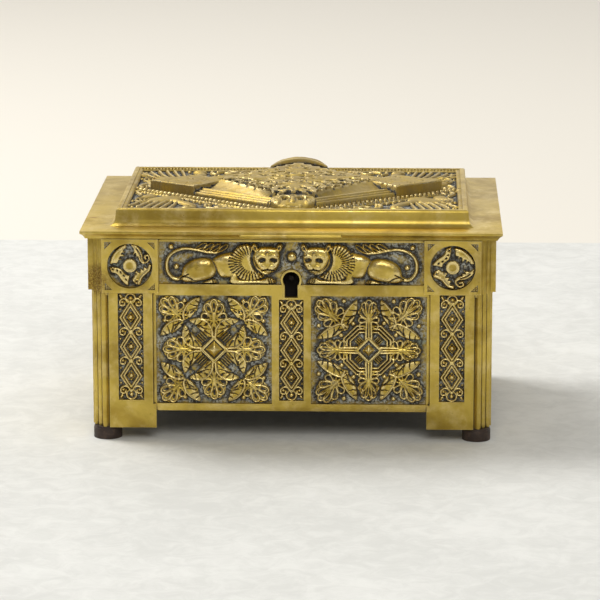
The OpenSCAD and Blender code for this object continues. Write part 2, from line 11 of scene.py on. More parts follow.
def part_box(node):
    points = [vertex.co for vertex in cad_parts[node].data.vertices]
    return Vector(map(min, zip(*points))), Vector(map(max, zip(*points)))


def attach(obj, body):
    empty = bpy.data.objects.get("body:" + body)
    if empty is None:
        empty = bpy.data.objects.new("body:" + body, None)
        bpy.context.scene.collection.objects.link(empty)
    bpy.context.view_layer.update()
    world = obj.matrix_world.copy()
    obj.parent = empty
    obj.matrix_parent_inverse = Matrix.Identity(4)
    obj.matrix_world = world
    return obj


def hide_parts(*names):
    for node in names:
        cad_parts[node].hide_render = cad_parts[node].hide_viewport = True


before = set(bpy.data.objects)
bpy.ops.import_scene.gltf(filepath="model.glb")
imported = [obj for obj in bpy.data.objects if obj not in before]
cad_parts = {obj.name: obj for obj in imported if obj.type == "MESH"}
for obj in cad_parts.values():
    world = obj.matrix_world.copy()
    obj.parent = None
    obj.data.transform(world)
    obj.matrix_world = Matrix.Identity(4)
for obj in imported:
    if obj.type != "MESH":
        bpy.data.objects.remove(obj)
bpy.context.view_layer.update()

bl_info = {
    "name": "Brass casket",
    "version": (1, 0, 0),
    "blender": (4, 5, 0),
    "location": "3D View > Sidebar > Casket",
    "description": "Models the relief plates, castings and lining of a small brass casket",
    "category": "Add Mesh",
}

MM = 0.001
SIDE_TURN = {"front": 0, "right": 90, "back": 180, "left": 270}
QUARTERS = tuple(itertools.product((-1, 1), repeat=2))
DICE = np.random.default_rng(11)

# the table's far edge, the lamps and the camera, in metres, watts and degrees
TABLE_EDGE = 0.307
LAMPS = (
    ("key", (-0.85, 0.45, 1.35), 0.7, 19, (1, 0.98, 0.95)),
    ("fill", (0.3, -1.7, 1.5), 1.2, 15, (1, 0.98, 0.93)),
    ("rim", (0.6, 1.5, 1.3), 1.4, 2, (0.98, 0.98, 1)),
)
LAMPS_AIM = Vector((0, 0, 0.04))
CAMERA_AT = (0.0414, -1.1979, 0.3080)
CAMERA_YAW, CAMERA_PITCH, CAMERA_ROLL = -1.91, 12.58, -0.05
CAMERA_LENS = 197.9

# the finishes' own tones, beside those in the settings
RUST = (0.30, 0.13, 0.03)
STAIN = (0.10, 0.035, 0.012)
STAIN_AT = (-69.5 * MM, -48.5 * MM, 58.5 * MM)
PIT_FLOOR = (0.06, 0.035, 0.012)
WORN_FILM = (0.30, 0.235, 0.125)
VERDIGRIS = (0.13, 0.20, 0.12)

# the case, in mm
HEAD_HALF = 20.1 / 2
STRIP_WIDTH = 9.0
BEADS_WIDTH = 2.3
KEY_CLEAR, KEY_SLOT_CLEAR = 3.75, 3.05

# the lid's lozenge, in mm: the crown's half sizes, its leafy middle's, and the hole's in the panel below
CROWN_U, CROWN_V = 54, 38.5
CROWN_SIDE, CROWN_REACH = 66.3, 31.3
LEAFY_U, LEAFY_V = 28, 32.5
HOLE_U, HOLE_V = 51.5, 36.5
BANDS_IN, GROOVE_IN = 5.4, 6.5
BLOCK_START = 26.5
# its lobes: each one's radius and how far its middle lies from the crown's front or back end
FRONT_LOBE, FRONT_LOBE_IN = 7.9, 8.4
BACK_LOBE, BACK_LOBE_IN = 12.0, 9.5
LOBE_POWER = 2.4


# ---- settings ----


class CasketSizes(bpy.types.PropertyGroup):
    """Sizes of the casket's detail"""

    cell: bpy.props.FloatProperty(
        name="Relief cell", description="Size of one cell of a relief plate",
        default=0.175 * MM, min=0.1 * MM, max=1 * MM, subtype="DISTANCE", unit="LENGTH")
    lid_cell: bpy.props.FloatProperty(
        name="Lid relief cell", description="Size of one cell of the lid's relief",
        default=0.27 * MM, min=0.15 * MM, max=1 * MM, subtype="DISTANCE", unit="LENGTH")
    edge: bpy.props.FloatProperty(
        name="Edge rounding", description="How far the castings' edges are rubbed round",
        default=0.22 * MM, min=0.05 * MM, max=0.6 * MM, subtype="DISTANCE", unit="LENGTH")
    relief_proud: bpy.props.FloatProperty(
        name="Relief proud", description="How far the highest relief stands out of its frame",
        default=0.35 * MM, min=0.0, max=0.8 * MM, subtype="DISTANCE", unit="LENGTH")


class CasketColours(bpy.types.PropertyGroup):
    """Colours of the casket's finishes"""

    brass: bpy.props.FloatVectorProperty(
        name="Brass", description="Clean aged brass", subtype="COLOR", default=(0.63, 0.465, 0.098))
    # this colour also paints highlights on the relief's raised tops
    rubbed: bpy.props.FloatVectorProperty(
        name="Rubbed brass", description="Brass where hands polish it", subtype="COLOR",
        default=(0.86, 0.70, 0.33))
    dull: bpy.props.FloatVectorProperty(
        name="Dull brass", description="Brass that has browned", subtype="COLOR",
                                        default=(0.40, 0.275, 0.050))
    # this colour also paints shade into hollows and creases, beside real soil
    soot_and_shade: bpy.props.FloatVectorProperty(
        name="Grime", description="Dark grime in the hollows", subtype="COLOR",
                                        default=(0.030, 0.024, 0.016))
    chalk: bpy.props.FloatVectorProperty(
        name="Residue", description="Dried polish in the hollows", subtype="COLOR",
                                         default=(0.50, 0.52, 0.48))
    velvet: bpy.props.FloatVectorProperty(
        name="Velvet", description="Pile of the lining", subtype="COLOR", default=(0.20, 0.010, 0.028))
    hide: bpy.props.FloatVectorProperty(
        name="Feet", description="Dark stained feet", subtype="COLOR", default=(0.030, 0.016, 0.010))


def sizes():
    return bpy.context.scene.casket_sizes


def colours():
    return bpy.context.scene.casket_colours


# ---- shaders ----


class Value:
    """A shader socket that arithmetic works on, each step as a Math node."""

    def __init__(self, shader, socket):
        self.shader = shader
        self.socket = socket

    def __add__(self, other):
        return self.shader.math("ADD", self, other)

    def __radd__(self, other):
        return self.shader.math("ADD", other, self)

    def __sub__(self, other):
        return self.shader.math("SUBTRACT", self, other)

    def __rsub__(self, other):
        return self.shader.math("SUBTRACT", other, self)

    def __mul__(self, other):
        return self.shader.math("MULTIPLY", self, other)

    def __rmul__(self, other):
        return self.shader.math("MULTIPLY", other, self)


class Shader:
    """A material and its nodes."""

    def __init__(self, name):
        self.material = bpy.data.materials.new(name)
        self.material.use_nodes = True
        self.tree = self.material.node_tree
        self.tree.nodes.clear()
        self.bsdf = self.tree.nodes.new("ShaderNodeBsdfPrincipled")
        output = self.tree.nodes.new("ShaderNodeOutputMaterial")
        self.tree.links.new(self.bsdf.outputs[0], output.inputs[0])
        self.place = self.node("ShaderNodeTexCoord", output="Object")

    def feed(self, socket, what):
        if isinstance(what, Value):
            self.tree.links.new(what.socket, socket)
        elif socket.type == "RGBA" and len(what) == 3:
            socket.default_value = (*what, 1)
        else:
            socket.default_value = what

    def node(self, kind, settings=None, inputs=None, output=0):
        node = self.tree.nodes.new(kind)
        for key, what in (settings or {}).items():
            setattr(node, key, what)
        for key, what in (inputs or {}).items():
            self.feed(node.inputs[key], what)
        return Value(self, node.outputs[output])

    def math(self, operation, a, b):
        return self.node("ShaderNodeMath", {"operation": operation}, {0: a, 1: b})

    def noise(self, size, detail=3, roughness=0.55, distortion=0.0, shift=0.0):
        """Noise from 0 to 1 whose blotches are about size across."""
        place = self.place
        if shift:
            place = self.node("ShaderNodeVectorMath", {"operation": "ADD"},
                              {0: place, 1: (shift, shift, shift)})
        return self.node("ShaderNodeTexNoise", None, {
            "Vector": place, "Scale": 1 / size, "Detail": detail, "Roughness": roughness,
            "Distortion": distortion})

    def ramp(self, value, low, high, to_low=0.0, to_high=1.0):
        """value, spread smoothly from low..high to to_low..to_high."""
        return self.node("ShaderNodeMapRange", {"interpolation_type": "SMOOTHSTEP"}, {
            "Value": value, "From Min": low, "From Max": high, "To Min": to_low, "To Max": to_high})

    def mix(self, factor, a, b):
        return self.node("ShaderNodeMix", {"data_type": "RGBA"}, {0: factor, 6: a, 7: b}, output=2)

    def attribute(self, name):
        return self.node("ShaderNodeAttribute", {"attribute_name": name}, output="Fac")

    def bump(self, height, distance, strength):
        return self.node("ShaderNodeBump", None,
                         {"Height": height, "Distance": distance, "Strength": strength},
                         output="Normal")

    def set(self, **inputs):
        for key, what in inputs.items():
            self.feed(self.bsdf.inputs[key.replace("_", " ")], what)
        return self.material


def brass_finish(name, polish_and_highlight_share, grime_and_shade_share, base_rough, crevice=True, veil=0.0):
    """Aged cast brass: browned blotches, rubbed edges, rubbed raised tops that also stand for painted
    highlights, pits, and soil, patina, painted shade and dried polish in the hollows.

    crevice paints shade into creases from ambient occlusion, with the soil, and rubs convex edges, all
    by the shape itself, where no relief marks it. veil is a dull film."""
    c = colours()
    s = Shader(name)
    patina_and_shade = s.attribute("patina_and_shade")
    high = s.attribute("high")
    blotch = s.noise(22 * MM, 4, 0.6, 0.6)
    cloud = s.noise(6 * MM, 4, 0.65, 0.3, 3.1)
    grain = s.noise(0.5 * MM, 4, 0.7)
    speck = s.noise(1.1 * MM, 3, 0.6, 0.0, 7.7)
    # this mask: soil and patina in the hollows, plus painted shade where the relief marks it and, with
    # crevice, from ambient occlusion in creases
    grime_and_shade = patina_and_shade
    if crevice:
        shade = s.node("ShaderNodeAmbientOcclusion", {"samples": 6}, {"Distance": 1.3 * MM}, output="AO")
        grime_and_shade = s.math("MAXIMUM", patina_and_shade, s.ramp(shade, 0.80, 0.30))
    grime_and_shade = s.ramp(grime_and_shade + (cloud - 0.5) * 0.5, 0.62 - grime_and_shade_share * 0.4, 1.02 - grime_and_shade_share * 0.4)
    # rubbed wear on raised points and edges, which also stands for a painted highlight on the tops
    rub_and_highlight = s.ramp(high + (cloud - 0.5) * 0.5, 0.75 - polish_and_highlight_share, 1.15 - polish_and_highlight_share)
    if crevice:
        within = s.node("ShaderNodeAmbientOcclusion", {"samples": 6, "inside": True},
                        {"Distance": 0.7 * MM},
                        output="AO")
        rub_and_highlight = s.math("MAXIMUM", rub_and_highlight, s.ramp(within + (cloud - 0.5) * 0.2, 0.62, 0.28))
    tone = s.mix(s.ramp(blotch, 0.38, 0.68), c.brass, c.dull)
    tone = s.mix(s.ramp(cloud, 0.42, 0.78, 0.0, 0.45), tone, c.rubbed)
    tone = s.mix(rub_and_highlight * 0.75, tone, c.rubbed)
    rust = s.ramp(s.noise(9 * MM, 3, 0.6, 0.2, 12.3), 0.66, 0.76, 0.0, 0.55)
    tone = s.mix(rust, tone, RUST)
    if crevice:
        away = s.node("ShaderNodeVectorMath", {"operation": "DISTANCE"}, {0: s.place, 1: STAIN_AT},
                      output="Value")
        stain = s.ramp(away * (0.7 + cloud * 0.6), 7.5 * MM, 3.5 * MM, 0.0, 0.85)
        tone = s.mix(stain * s.ramp(grain, 0.3, 0.6), tone, STAIN)
    pit = s.ramp(speck, 0.70, 0.77)
    tone = s.mix(pit * 0.8, tone, PIT_FLOOR)
    if veil:
        film = s.ramp(cloud + (grain - 0.5) * 0.4, 0.30, 0.62, 0.3 * veil, veil)
        tone = s.mix(film, tone, WORN_FILM)
    # paints the soil colour and painted shade into the hollows and creases
    tone = s.mix(grime_and_shade, tone, c.soot_and_shade)
    chalky = s.ramp(patina_and_shade, 0.30, 0.60) * s.ramp(s.noise(0.9 * MM, 4, 0.8, 0.5, 5.2), 0.46, 0.58)
    chalky = chalky * (1 - s.attribute("corner") * 0.75) * (0.35 + s.ramp(cloud, 0.38, 0.6) * 0.65)
    chalky = s.math("MAXIMUM", chalky, 0.0)
    green = s.ramp(s.noise(14 * MM, 2, 0.5, 0.0, 20.5), 0.60, 0.70)
    dust = s.mix(green * 0.6, c.chalk, VERDIGRIS)
    tone = s.mix(chalky * 0.9, tone, dust)
    # soil, patina, painted shade and dust together also dull the metal
    soil_and_shade = s.math("MAXIMUM", grime_and_shade, chalky)
    metal = 1 - soil_and_shade * 0.9
    rough = base_rough + (grain - 0.5) * 0.22 + (blotch - 0.5) * 0.2
    rough = rough - rub_and_highlight * 0.08 + soil_and_shade * 0.42 + pit * 0.2
    height = cloud * 0.6 + grain * 0.16 - pit * 0.5
    return s.set(Base_Color=tone, Metallic=metal, Roughness=rough, Normal=s.bump(height, 0.25 * MM, 0.5))


def velvet_finish():
    c = colours()
    s = Shader("velvet")
    pile = s.noise(0.7 * MM, 4, 0.8)
    crush = s.noise(16 * MM, 3, 0.5, 0.8)
    tone = s.mix(s.ramp(crush + (pile - 0.5) * 0.5, 0.35, 0.7), c.velvet,
                 tuple(0.45 * v for v in c.velvet))
    s.set(Sheen_Weight=0.8, Sheen_Roughness=0.35, Sheen_Tint=(0.9, 0.35, 0.42))
    return s.set(Base_Color=tone, Roughness=0.92 + (pile - 0.5) * 0.1,
                 Normal=s.bump(pile + crush * 0.6, 0.4 * MM, 0.7))


def steel_finish():
    s = Shader("dull_steel")
    brushed = s.noise(0.6 * MM, 3, 0.6)
    blotch = s.noise(5 * MM, 4, 0.6, 0.4)
    tone = s.mix(s.ramp(blotch, 0.4, 0.7), (0.24, 0.23, 0.21), (0.07, 0.055, 0.045))
    return s.set(Base_Color=tone, Metallic=1.0 - s.ramp(blotch, 0.6, 0.8, 0, 0.6),
                 Roughness=0.35 + (brushed - 0.5) * 0.3 + s.ramp(blotch, 0.5, 0.8, 0, 0.3),
                 Normal=s.bump(brushed, 0.06 * MM, 0.4))


def shadow_black_finish():
    """Steel painted near-black on the lock's inner parts: painted shade, as seen through the keyhole."""
    s = Shader("shadow_black_steel")
    cloud = s.noise(3 * MM, 3, 0.6)
    tone = s.mix(cloud, (0.004, 0.003, 0.002), (0.016, 0.010, 0.007))
    return s.set(Base_Color=tone, Metallic=0.2, Roughness=0.8)


def foot_finish():
    c = colours()
    s = Shader("foot_leather")
    wear = s.noise(3 * MM, 4, 0.65, 0.3)
    grain = s.noise(0.45 * MM, 4, 0.7)
    tone = s.mix(s.ramp(wear, 0.45, 0.75), c.hide, (0.075, 0.042, 0.026))
    return s.set(Base_Color=tone, Roughness=0.55 + (grain - 0.5) * 0.3,
                 Normal=s.bump(grain + wear, 0.12 * MM, 0.5))


def floor_finish(edge_y):
    """Pale washed table with a slightly warmer tone beyond its far edge."""
    s = Shader("table")
    across = s.node("ShaderNodeSeparateXYZ", None, {0: s.place}, output="Y")
    wash = s.noise(9 * MM, 5, 0.7, 0.8) * 0.6 + s.noise(60 * MM, 3, 0.5) * 0.4
    table = s.mix(s.ramp(wash, 0.36, 0.66), (0.69, 0.70, 0.68), (0.80, 0.81, 0.79))
    beyond = s.ramp(across, edge_y - 2 * MM, edge_y + 2 * MM)
    return s.set(Base_Color=s.mix(beyond, table, (0.83, 0.80, 0.73)), Roughness=0.75)


# each finish's material slot, and what makes it
FINISHES = {
    "castings": ("plain_brass", lambda: brass_finish("cast_brass", 0.25, 0.42, 0.38)),
    "reliefs": ("relief_brass", lambda: brass_finish("relief_brass", 0.42, 0.5, 0.33, crevice=False)),
    "worn": ("relief_brass",
             lambda: brass_finish("worn_brass", 0.15, 0.6, 0.55, crevice=False, veil=0.6)),
    "shadow_black": ("lock_steel", shadow_black_finish),
    "velvet": ("velvet", velvet_finish),
    "steel": ("lock_steel", steel_finish),
    "feet": ("foot_leather", foot_finish),
}
MADE = {}


def finish(name):
    """The named finish, made the first time that it is asked for."""
    if name not in MADE:
        MADE[name] = FINISHES[name][1]()
    return MADE[name]


def dress(piece, finish_name, body, *nodes):
    """Gives a piece its finish, its body, and the CAD nodes that it stands for."""
    piece.data.materials.clear()
    piece.data.materials.append(finish(finish_name))
    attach(piece, body)
    if nodes:
        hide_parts(*nodes)
    return piece


# ---- drawing on relief plates, in millimetres ----


def curve_through(points, steps=8):
    """A smooth path through points."""
    p = np.array(points, float)
    if len(p) < 3:
        return p
    p = np.vstack([2 * p[0] - p[1], p, 2 * p[-1] - p[-2]])
    out = []
    for a, b, c, d in zip(p[:-3], p[1:-2], p[2:-1], p[3:]):
        for t in np.linspace(0, 1, steps, endpoint=False):
            out.append(0.5 * (2 * b + (c - a) * t + (2 * a - 5 * b + 4 * c - d) * t ** 2
                              + (3 * b - a - 3 * c + d) * t ** 3))
    return np.vstack(out + [p[-2]])


def turned(points, degrees, flip=False, shift=(0, 0)):
    """points, mirrored left to right if flip is set, then turned about the middle and shifted."""
    p = np.array(points, float).reshape(-1, 2).copy()
    if flip:
        p[:, 0] *= -1
    a = math.radians(degrees)
    return p @ np.array([[math.cos(a), math.sin(a)], [-math.sin(a), math.cos(a)]]) + np.array(shift)


def arc(centre, radius, start, stop, steps):
    """Points on a circle's arc, from an angle to another in degrees."""
    a = np.radians(np.linspace(start, stop, steps))
    return np.stack([centre[0] + radius * np.cos(a), centre[1] + radius * np.sin(a)], 1)


def blended_max(a, b, reach):
    """The greater of two heights, with a fillet of about reach where they meet."""
    share = np.clip(0.5 + 0.5 * (b - a) / reach, 0, 1)
    return a * (1 - share) + b * share + reach * share * (1 - share)


class Relief:
    """Heights over a rectangle centred on the middle, on which forms are raised and cut."""

    def __init__(self, width, height, cell, ground=0.3):
        self.u = np.linspace(-width / 2, width / 2, int(round(width / cell)) + 1)
        self.v = np.linspace(-height / 2, height / 2, int(round(height / cell)) + 1)
        self.h = np.full((len(self.v), len(self.u)), float(ground))
        self.ground = ground
        self.blend = 0.10
        # painted shade that a drawing marks: holes, grooves and gaps where shade falls
        self.painted_shade = np.zeros(self.h.shape)

    def window(self, low, high, margin):
        """The part of the plate within margin of a box, and its u and v."""
        i0, i1 = np.searchsorted(self.u, (low[0] - margin, high[0] + margin))
        j0, j1 = np.searchsorted(self.v, (low[1] - margin, high[1] + margin))
        part = (slice(j0, j1), slice(i0, i1))
        return part, *np.meshgrid(self.u[i0:i1], self.v[j0:j1])

    def along(self, path, margin):
        """Distance from a path, and the share of its length, over the part of the plate near it."""
        p = np.array(path, float)
        part, u, v = self.window(p.min(0), p.max(0), margin)
        if u.size == 0:
            return part, None, None
        best = np.full(u.shape, 1e9)
        share = np.zeros(u.shape)
        steps = np.hypot(*np.diff(p, axis=0).T)
        reached = np.concatenate([[0], np.cumsum(steps)]) / max(steps.sum(), 1e-9)
        for a, b, s0, s1 in zip(p[:-1], p[1:], reached[:-1], reached[1:]):
            d = b - a
            t = np.clip(((u - a[0]) * d[0] + (v - a[1]) * d[1]) / max(d @ d, 1e-12), 0, 1)
            far = np.hypot(u - a[0] - t * d[0], v - a[1] - t * d[1])
            near = far < best
            best = np.where(near, far, best)
            share = np.where(near, s0 + t * (s1 - s0), share)
        return part, best, share

    def put(self, part, top, inside, over):
        """Raises the plate to top inside a form, or raises it by top where over is set."""
        here = self.h[part]
        if over:
            self.h[part] = here + np.where(inside, top, 0)
        else:
            self.h[part] = np.where(inside, blended_max(here, self.ground + top, self.blend), here)

    def stroke(self, path, width, rise, taper=(1, 1), belly=0.0, flat=0.0, over=False):
        """A rounded cord along a path. It is flat on top where flat is above 0."""
        part, far, share = self.along(path, width)
        if far is None:
            return
        half = width / 2 * (taper[0] + (taper[1] - taper[0]) * share + belly * np.sin(np.pi * share))
        x = far / np.maximum(half, 1e-3)
        profile = np.sqrt(np.clip(1 - x ** 2, 0, 1))
        if flat:
            profile = np.clip(profile / (1 - flat), 0, 1)
        rise = rise * np.clip(half / (width / 2), 0, 1) ** 0.4
        self.put(part, rise * profile, x < 1, over)

    def groove(self, path, width, depth, taper=(1, 1)):
        self.stroke(path, width, -depth, taper, over=True)

    def blob(self, at, radii, rise, degrees=0.0, over=False, power=0.5):
        """A dome. A low power gives it steep sides."""
        reach = max(radii)
        part, u, v = self.window(at, at, reach)
        a = math.radians(degrees)
        x = ((u - at[0]) * math.cos(a) + (v - at[1]) * math.sin(a)) / radii[0]
        y = (-(u - at[0]) * math.sin(a) + (v - at[1]) * math.cos(a)) / radii[1]
        d = x ** 2 + y ** 2
        self.put(part, rise * np.clip(1 - d, 0, 1) ** power, d < 1, over)

    def dent(self, at, radii, depth, degrees=0.0):
        self.blob(at, radii, -depth, degrees, over=True, power=1.0)

    def bead(self, at, radius, rise=0.9):
        self.blob(at, (radius, radius), rise)

    def ring(self, at, radius, width, rise):
        self.stroke(arc(at, radius, 0, 360, 28), width, rise)

    def loop(self, inner, outer, width, cord, rise):
        """A petal drawn as a cord round a drop shape, narrow at its inner end."""
        inner, outer = np.array(inner, float), np.array(outer, float)
        axis = outer - inner
        across = np.array([-axis[1], axis[0]]) / max(np.hypot(*axis), 1e-6)
        turn = np.linspace(0, 2 * np.pi, 25)
        share = (1 - np.cos(turn)) / 2
        side = np.sin(turn) * width / 2 * (0.3 + 0.8 * share)
        self.stroke(inner + np.outer(share, axis) + np.outer(side, across), cord, rise)

    def fill(self, outline, rise, rounding=0.35):
        """A flat-topped form inside a smooth outline, its edge rounded over."""
        path = curve_through(list(outline) + [outline[0]], 6)
        part, far, _ = self.along(path, 0.3)
        if far is None:
            return
        u, v = np.meshgrid(self.u[part[1]], self.v[part[0]])
        inside = np.zeros(u.shape, bool)
        for a, b in zip(path[:-1], path[1:]):
            if a[1] != b[1]:
                crosses = (a[1] > v) != (b[1] > v)
                inside ^= crosses & (u < a[0] + (v - a[1]) * (b[0] - a[0]) / (b[1] - a[1]))
        x = 1 - np.clip(far / rounding, 0, 1)
        self.put(part, rise * np.sqrt(1 - x ** 2), inside, False)

    def rope(self, a, b, width, rise, pitch):
        """A twisted cord along a straight line."""
        self.stroke([a, b], width, rise)
        a, b = np.array(a, float), np.array(b, float)
        length = np.hypot(*(b - a))
        along = (b - a) / length
        across = np.array([-along[1], along[0]])
        for far in np.arange(pitch, length, pitch):
            middle = a + along * far
            slant = across * width * 0.62 + along * pitch * 0.3
            self.groove([middle - slant, middle + slant], pitch * 0.46, rise * 0.9)

    def roughen(self, amount, size):
        """Casting unevenness, blotches about size across."""
        rows = max(3, int((self.v[-1] - self.v[0]) / size))
        columns = max(3, int((self.u[-1] - self.u[0]) / size))
        coarse = DICE.normal(0, amount, (rows + 3, columns + 3))
        y = np.linspace(0, rows, len(self.v))
        x = np.linspace(0, columns, len(self.u))
        y0, x0 = y.astype(int), x.astype(int)
        ty, tx = (t * t * (3 - 2 * t) for t in (y - y0, x - x0))
        ty = ty[:, None]
        top = coarse[np.ix_(y0, x0)] * (1 - tx) + coarse[np.ix_(y0, x0 + 1)] * tx
        low = coarse[np.ix_(y0 + 1, x0)] * (1 - tx) + coarse[np.ix_(y0 + 1, x0 + 1)] * tx
        self.h += top * (1 - ty) + low * ty

    def cast(self, low, high, *grains):
        """Roughens the plate once for each amount and size, and keeps its heights from low to high."""
        for grain in grains:
            self.roughen(*grain)
        self.h = np.clip(self.h, low, high)

    def spread(self, reach):
        """The heights blurred over a square of about reach each way."""
        n = max(1, int(round(reach / (self.u[1] - self.u[0]))))
        out = self.h
        for axis in (0, 1):
            pad = [(n, n) if a == axis else (0, 0) for a in (0, 1)]
            padded = np.pad(out, pad, mode="edge")
            total = np.cumsum(padded, axis)
            total = np.insert(total, 0, 0, axis)
            size = out.shape[axis]
            high = np.take(total, np.arange(2 * n + 1, 2 * n + 1 + size), axis)
            low = np.take(total, np.arange(0, size), axis)
            out = (high - low) / (2 * n + 1)
        return out


# ---- ornament ----


def palmette(plate, root, degrees, length, half_width, loops=7, stem=0.3, rise=1.0, cord=0.8):
    """A fan of looped petals on a swelling stem."""
    axis = turned([(0, 1)], degrees)[0]
    across = turned([(1, 0)], degrees)[0]
    root = np.array(root, float)
    hub = root + axis * length * stem
    reach = length * (1 - stem)
    plate.blob(hub + axis * reach * 0.42, (half_width * 0.84, reach * 0.52), 0.62, degrees, power=0.3)
    plate.stroke([root, hub + axis * reach * 0.25], 1.9, rise * 1.15, (0.45, 1.0), 0.3)
    for k in range(loops):
        share = 2 * k / (loops - 1) - 1
        angle = share * math.radians(118)
        near = hub + axis * (0.16 * reach * math.cos(angle))
        near = near + across * (0.2 * half_width * math.sin(angle))
        end = hub + axis * (0.93 * reach * math.cos(angle) * (1 if abs(share) < 0.9 else 0.75))
        end = end + across * (0.90 * half_width * math.sin(angle))
        gap = np.hypot(*(end - near))
        size = rise * (0.94 + 0.12 * DICE.random())
        plate.loop(near, end, min(0.8 * gap, 3.1), cord, size)
        if gap > 1.6:
            turn = math.degrees(math.atan2(end[1] - near[1], end[0] - near[0]))
            plate.dent(near + (end - near) * 0.62, (gap * 0.24, min(0.17 * gap, 0.6)), 0.55, turn)


def half_leaf(plate, spine, side, ribs=5, width=3.2, rise=1.2):
    """A broad curved blade: a bright spine on one edge, and ribs that sweep to its toothed edge."""
    path = curve_through(spine, 7)
    count = len(path)
    ahead = np.gradient(path, axis=0)
    ahead /= np.maximum(np.hypot(*ahead.T), 1e-6)[:, None]
    out = np.stack([-ahead[:, 1], ahead[:, 0]], 1) * side
    share = np.linspace(0, 1, count)[:, None]
    swell = np.sin(np.pi * (0.12 + 0.86 * share)) ** 0.8
    plate.stroke(path + out * swell * width * 0.42, width, rise * 0.8, (0.25, 0.1), 0.78, 0.35)
    for k in range(ribs):
        here = 0.06 + 0.80 * k / (ribs - 1)
        i = min(int(here * (count - 1)), count - 1)
        size = width * (float(swell[i][0]) * 0.98 + 0.1)
        end = path[i] + size * (0.98 * out[i] + 0.62 * ahead[i])
        bend = path[i] + size * (0.46 * out[i] + 0.16 * ahead[i])
        plate.groove(curve_through([path[i] + out[i] * 0.5, bend, end], 5), 0.55, 0.62, (0.5, 1.25))
    plate.stroke(path, 1.25, rise * 1.12, (0.95, 0.4), 0.2)


def hatch(plate, at, degrees, count, length, pitch, rise=0.6, width=0.42):
    for k in range(count):
        offset = (k - (count - 1) / 2) * pitch
        plate.stroke(turned([(offset, -length / 2), (offset, length / 2)], degrees, shift=at), width,
                     rise)


def diamond_boss(plate, half, inner, rise):
    """A pyramid in a diamond frame."""
    corners = [(half, 0), (0, half), (-half, 0), (0, -half)]
    u, v = np.meshgrid(plate.u, plate.v)
    d = np.abs(u) + np.abs(v)
    frame_top = plate.ground + rise * 0.72 * np.clip((half - d) / 0.35, 0, 1)
    wall = half - 1.15
    sunk = d < wall
    body = np.where(sunk, plate.ground + 0.25, frame_top)
    pyramid = plate.ground + 0.2 + rise * 1.05 * np.clip(1 - d / inner, 0, 1) ** 0.9
    body = np.where(d < inner, np.maximum(body, pyramid), body)
    plate.h = np.where(d < half, body, plate.h)
    plate.stroke(corners + corners[:1], 0.7, rise * 0.9)


def rosette_leafy(plate):
    """A pyramid boss with leaf sprays on the axes and palmettes on the axes and corners."""
    for turn in (0, 90, 180, 270):
        for flip in (False, True):
            hand = -1 if flip else 1
            wobble = 0.25 * DICE.normal(size=2)
            spray = [(-0.5, 4.9), (-0.8, 7.6), (-2.6, 10.1), (-5.4, 11.2 + 0.2 * wobble[0]),
                     (-8.6, 10.6)]
            half_leaf(plate, turned(spray, turn, flip), hand, 5, 4.3, 1.25)
            outer = [(-10.6, 11.2), (-11.0, 12.6), (-10.0, 15.6), (-7.8, 17.9), (-5.2, 19.0)]
            half_leaf(plate, turned(outer, turn, flip), -hand, 5, 4.5, 1.3)
            plate.bead(turned([(-10.5, 17.7 + 0.15 * wobble[1])], turn, flip)[0], 0.8, 0.8)
        palmette(plate, turned([(0, 8.4)], turn)[0], turn, 10.4, 5.0, 7, 0.26, 1.05, 0.8)
        root = turned([(-11.9, 11.6)], turn)[0]
        palmette(plate, root, turn + 45, 10.2, 4.8, 7, 0.2, 1.05, 0.8)
        hatch(plate, turned([(-4.3, 4.4)], turn)[0], turn + 45, 5, 3.2, 0.85)
        for edge in (-0.55, 0.55):
            plate.stroke(turned([(edge, 4.6), (edge, 9.2)], turn), 0.95, 1.15)
    diamond_boss(plate, 4.8, 3.3, 1.55)


def rosette_strapped(plate):
    """A small boss, long palmettes on the axes, bent straps between them, and corner leaves."""
    for turn in (0, 90, 180, 270):
        for strap in (0, 1.15, 2.3):
            far, bend = 8.9 - strap, 4.3 - 0.42 * strap
            path = [(1.5, far), (bend, far), (far, bend), (far, 1.5)]
            plate.stroke(turned(path, turn), 0.85, 1.05, (0.95, 0.95))
        hatch(plate, turned([(3.5, 3.5)], turn)[0], turn - 45, 4, 1.8, 0.7)
        for edge in (-1.0, 0, 1.0):
            plate.stroke(turned([(edge, 4.3), (edge * 0.8, 10.6)], turn), 1.05, 1.25)
        palmette(plate, turned([(0, 9.0)], turn)[0], turn, 10.0, 4.0, 9, 0.2, 1.1, 0.75)
        palmette(plate, turned([(-10.6, 10.2)], turn)[0], turn + 45, 11.6, 4.9, 9, 0.22, 1.1, 0.75)
        for flip in (False, True):
            leaf = [(-8.6, 7.6), (-9.7, 10.2), (-8.4, 13.6), (-6.6, 16.2), (-4.4, 18.3)]
            half_leaf(plate, turned(leaf, turn, flip), 1 if flip else -1, 5, 4.3, 1.25)
            plate.bead(turned([(-8.9, 17.9)], turn, flip)[0], 0.8, 0.8)
        plate.bead(turned([(-5.6, 9.7)], turn)[0], 0.85, 0.85)
        plate.bead(turned([(-9.9, 5.4)], turn)[0], 0.85, 0.85)
    diamond_boss(plate, 4.9, 2.3, 1.5)


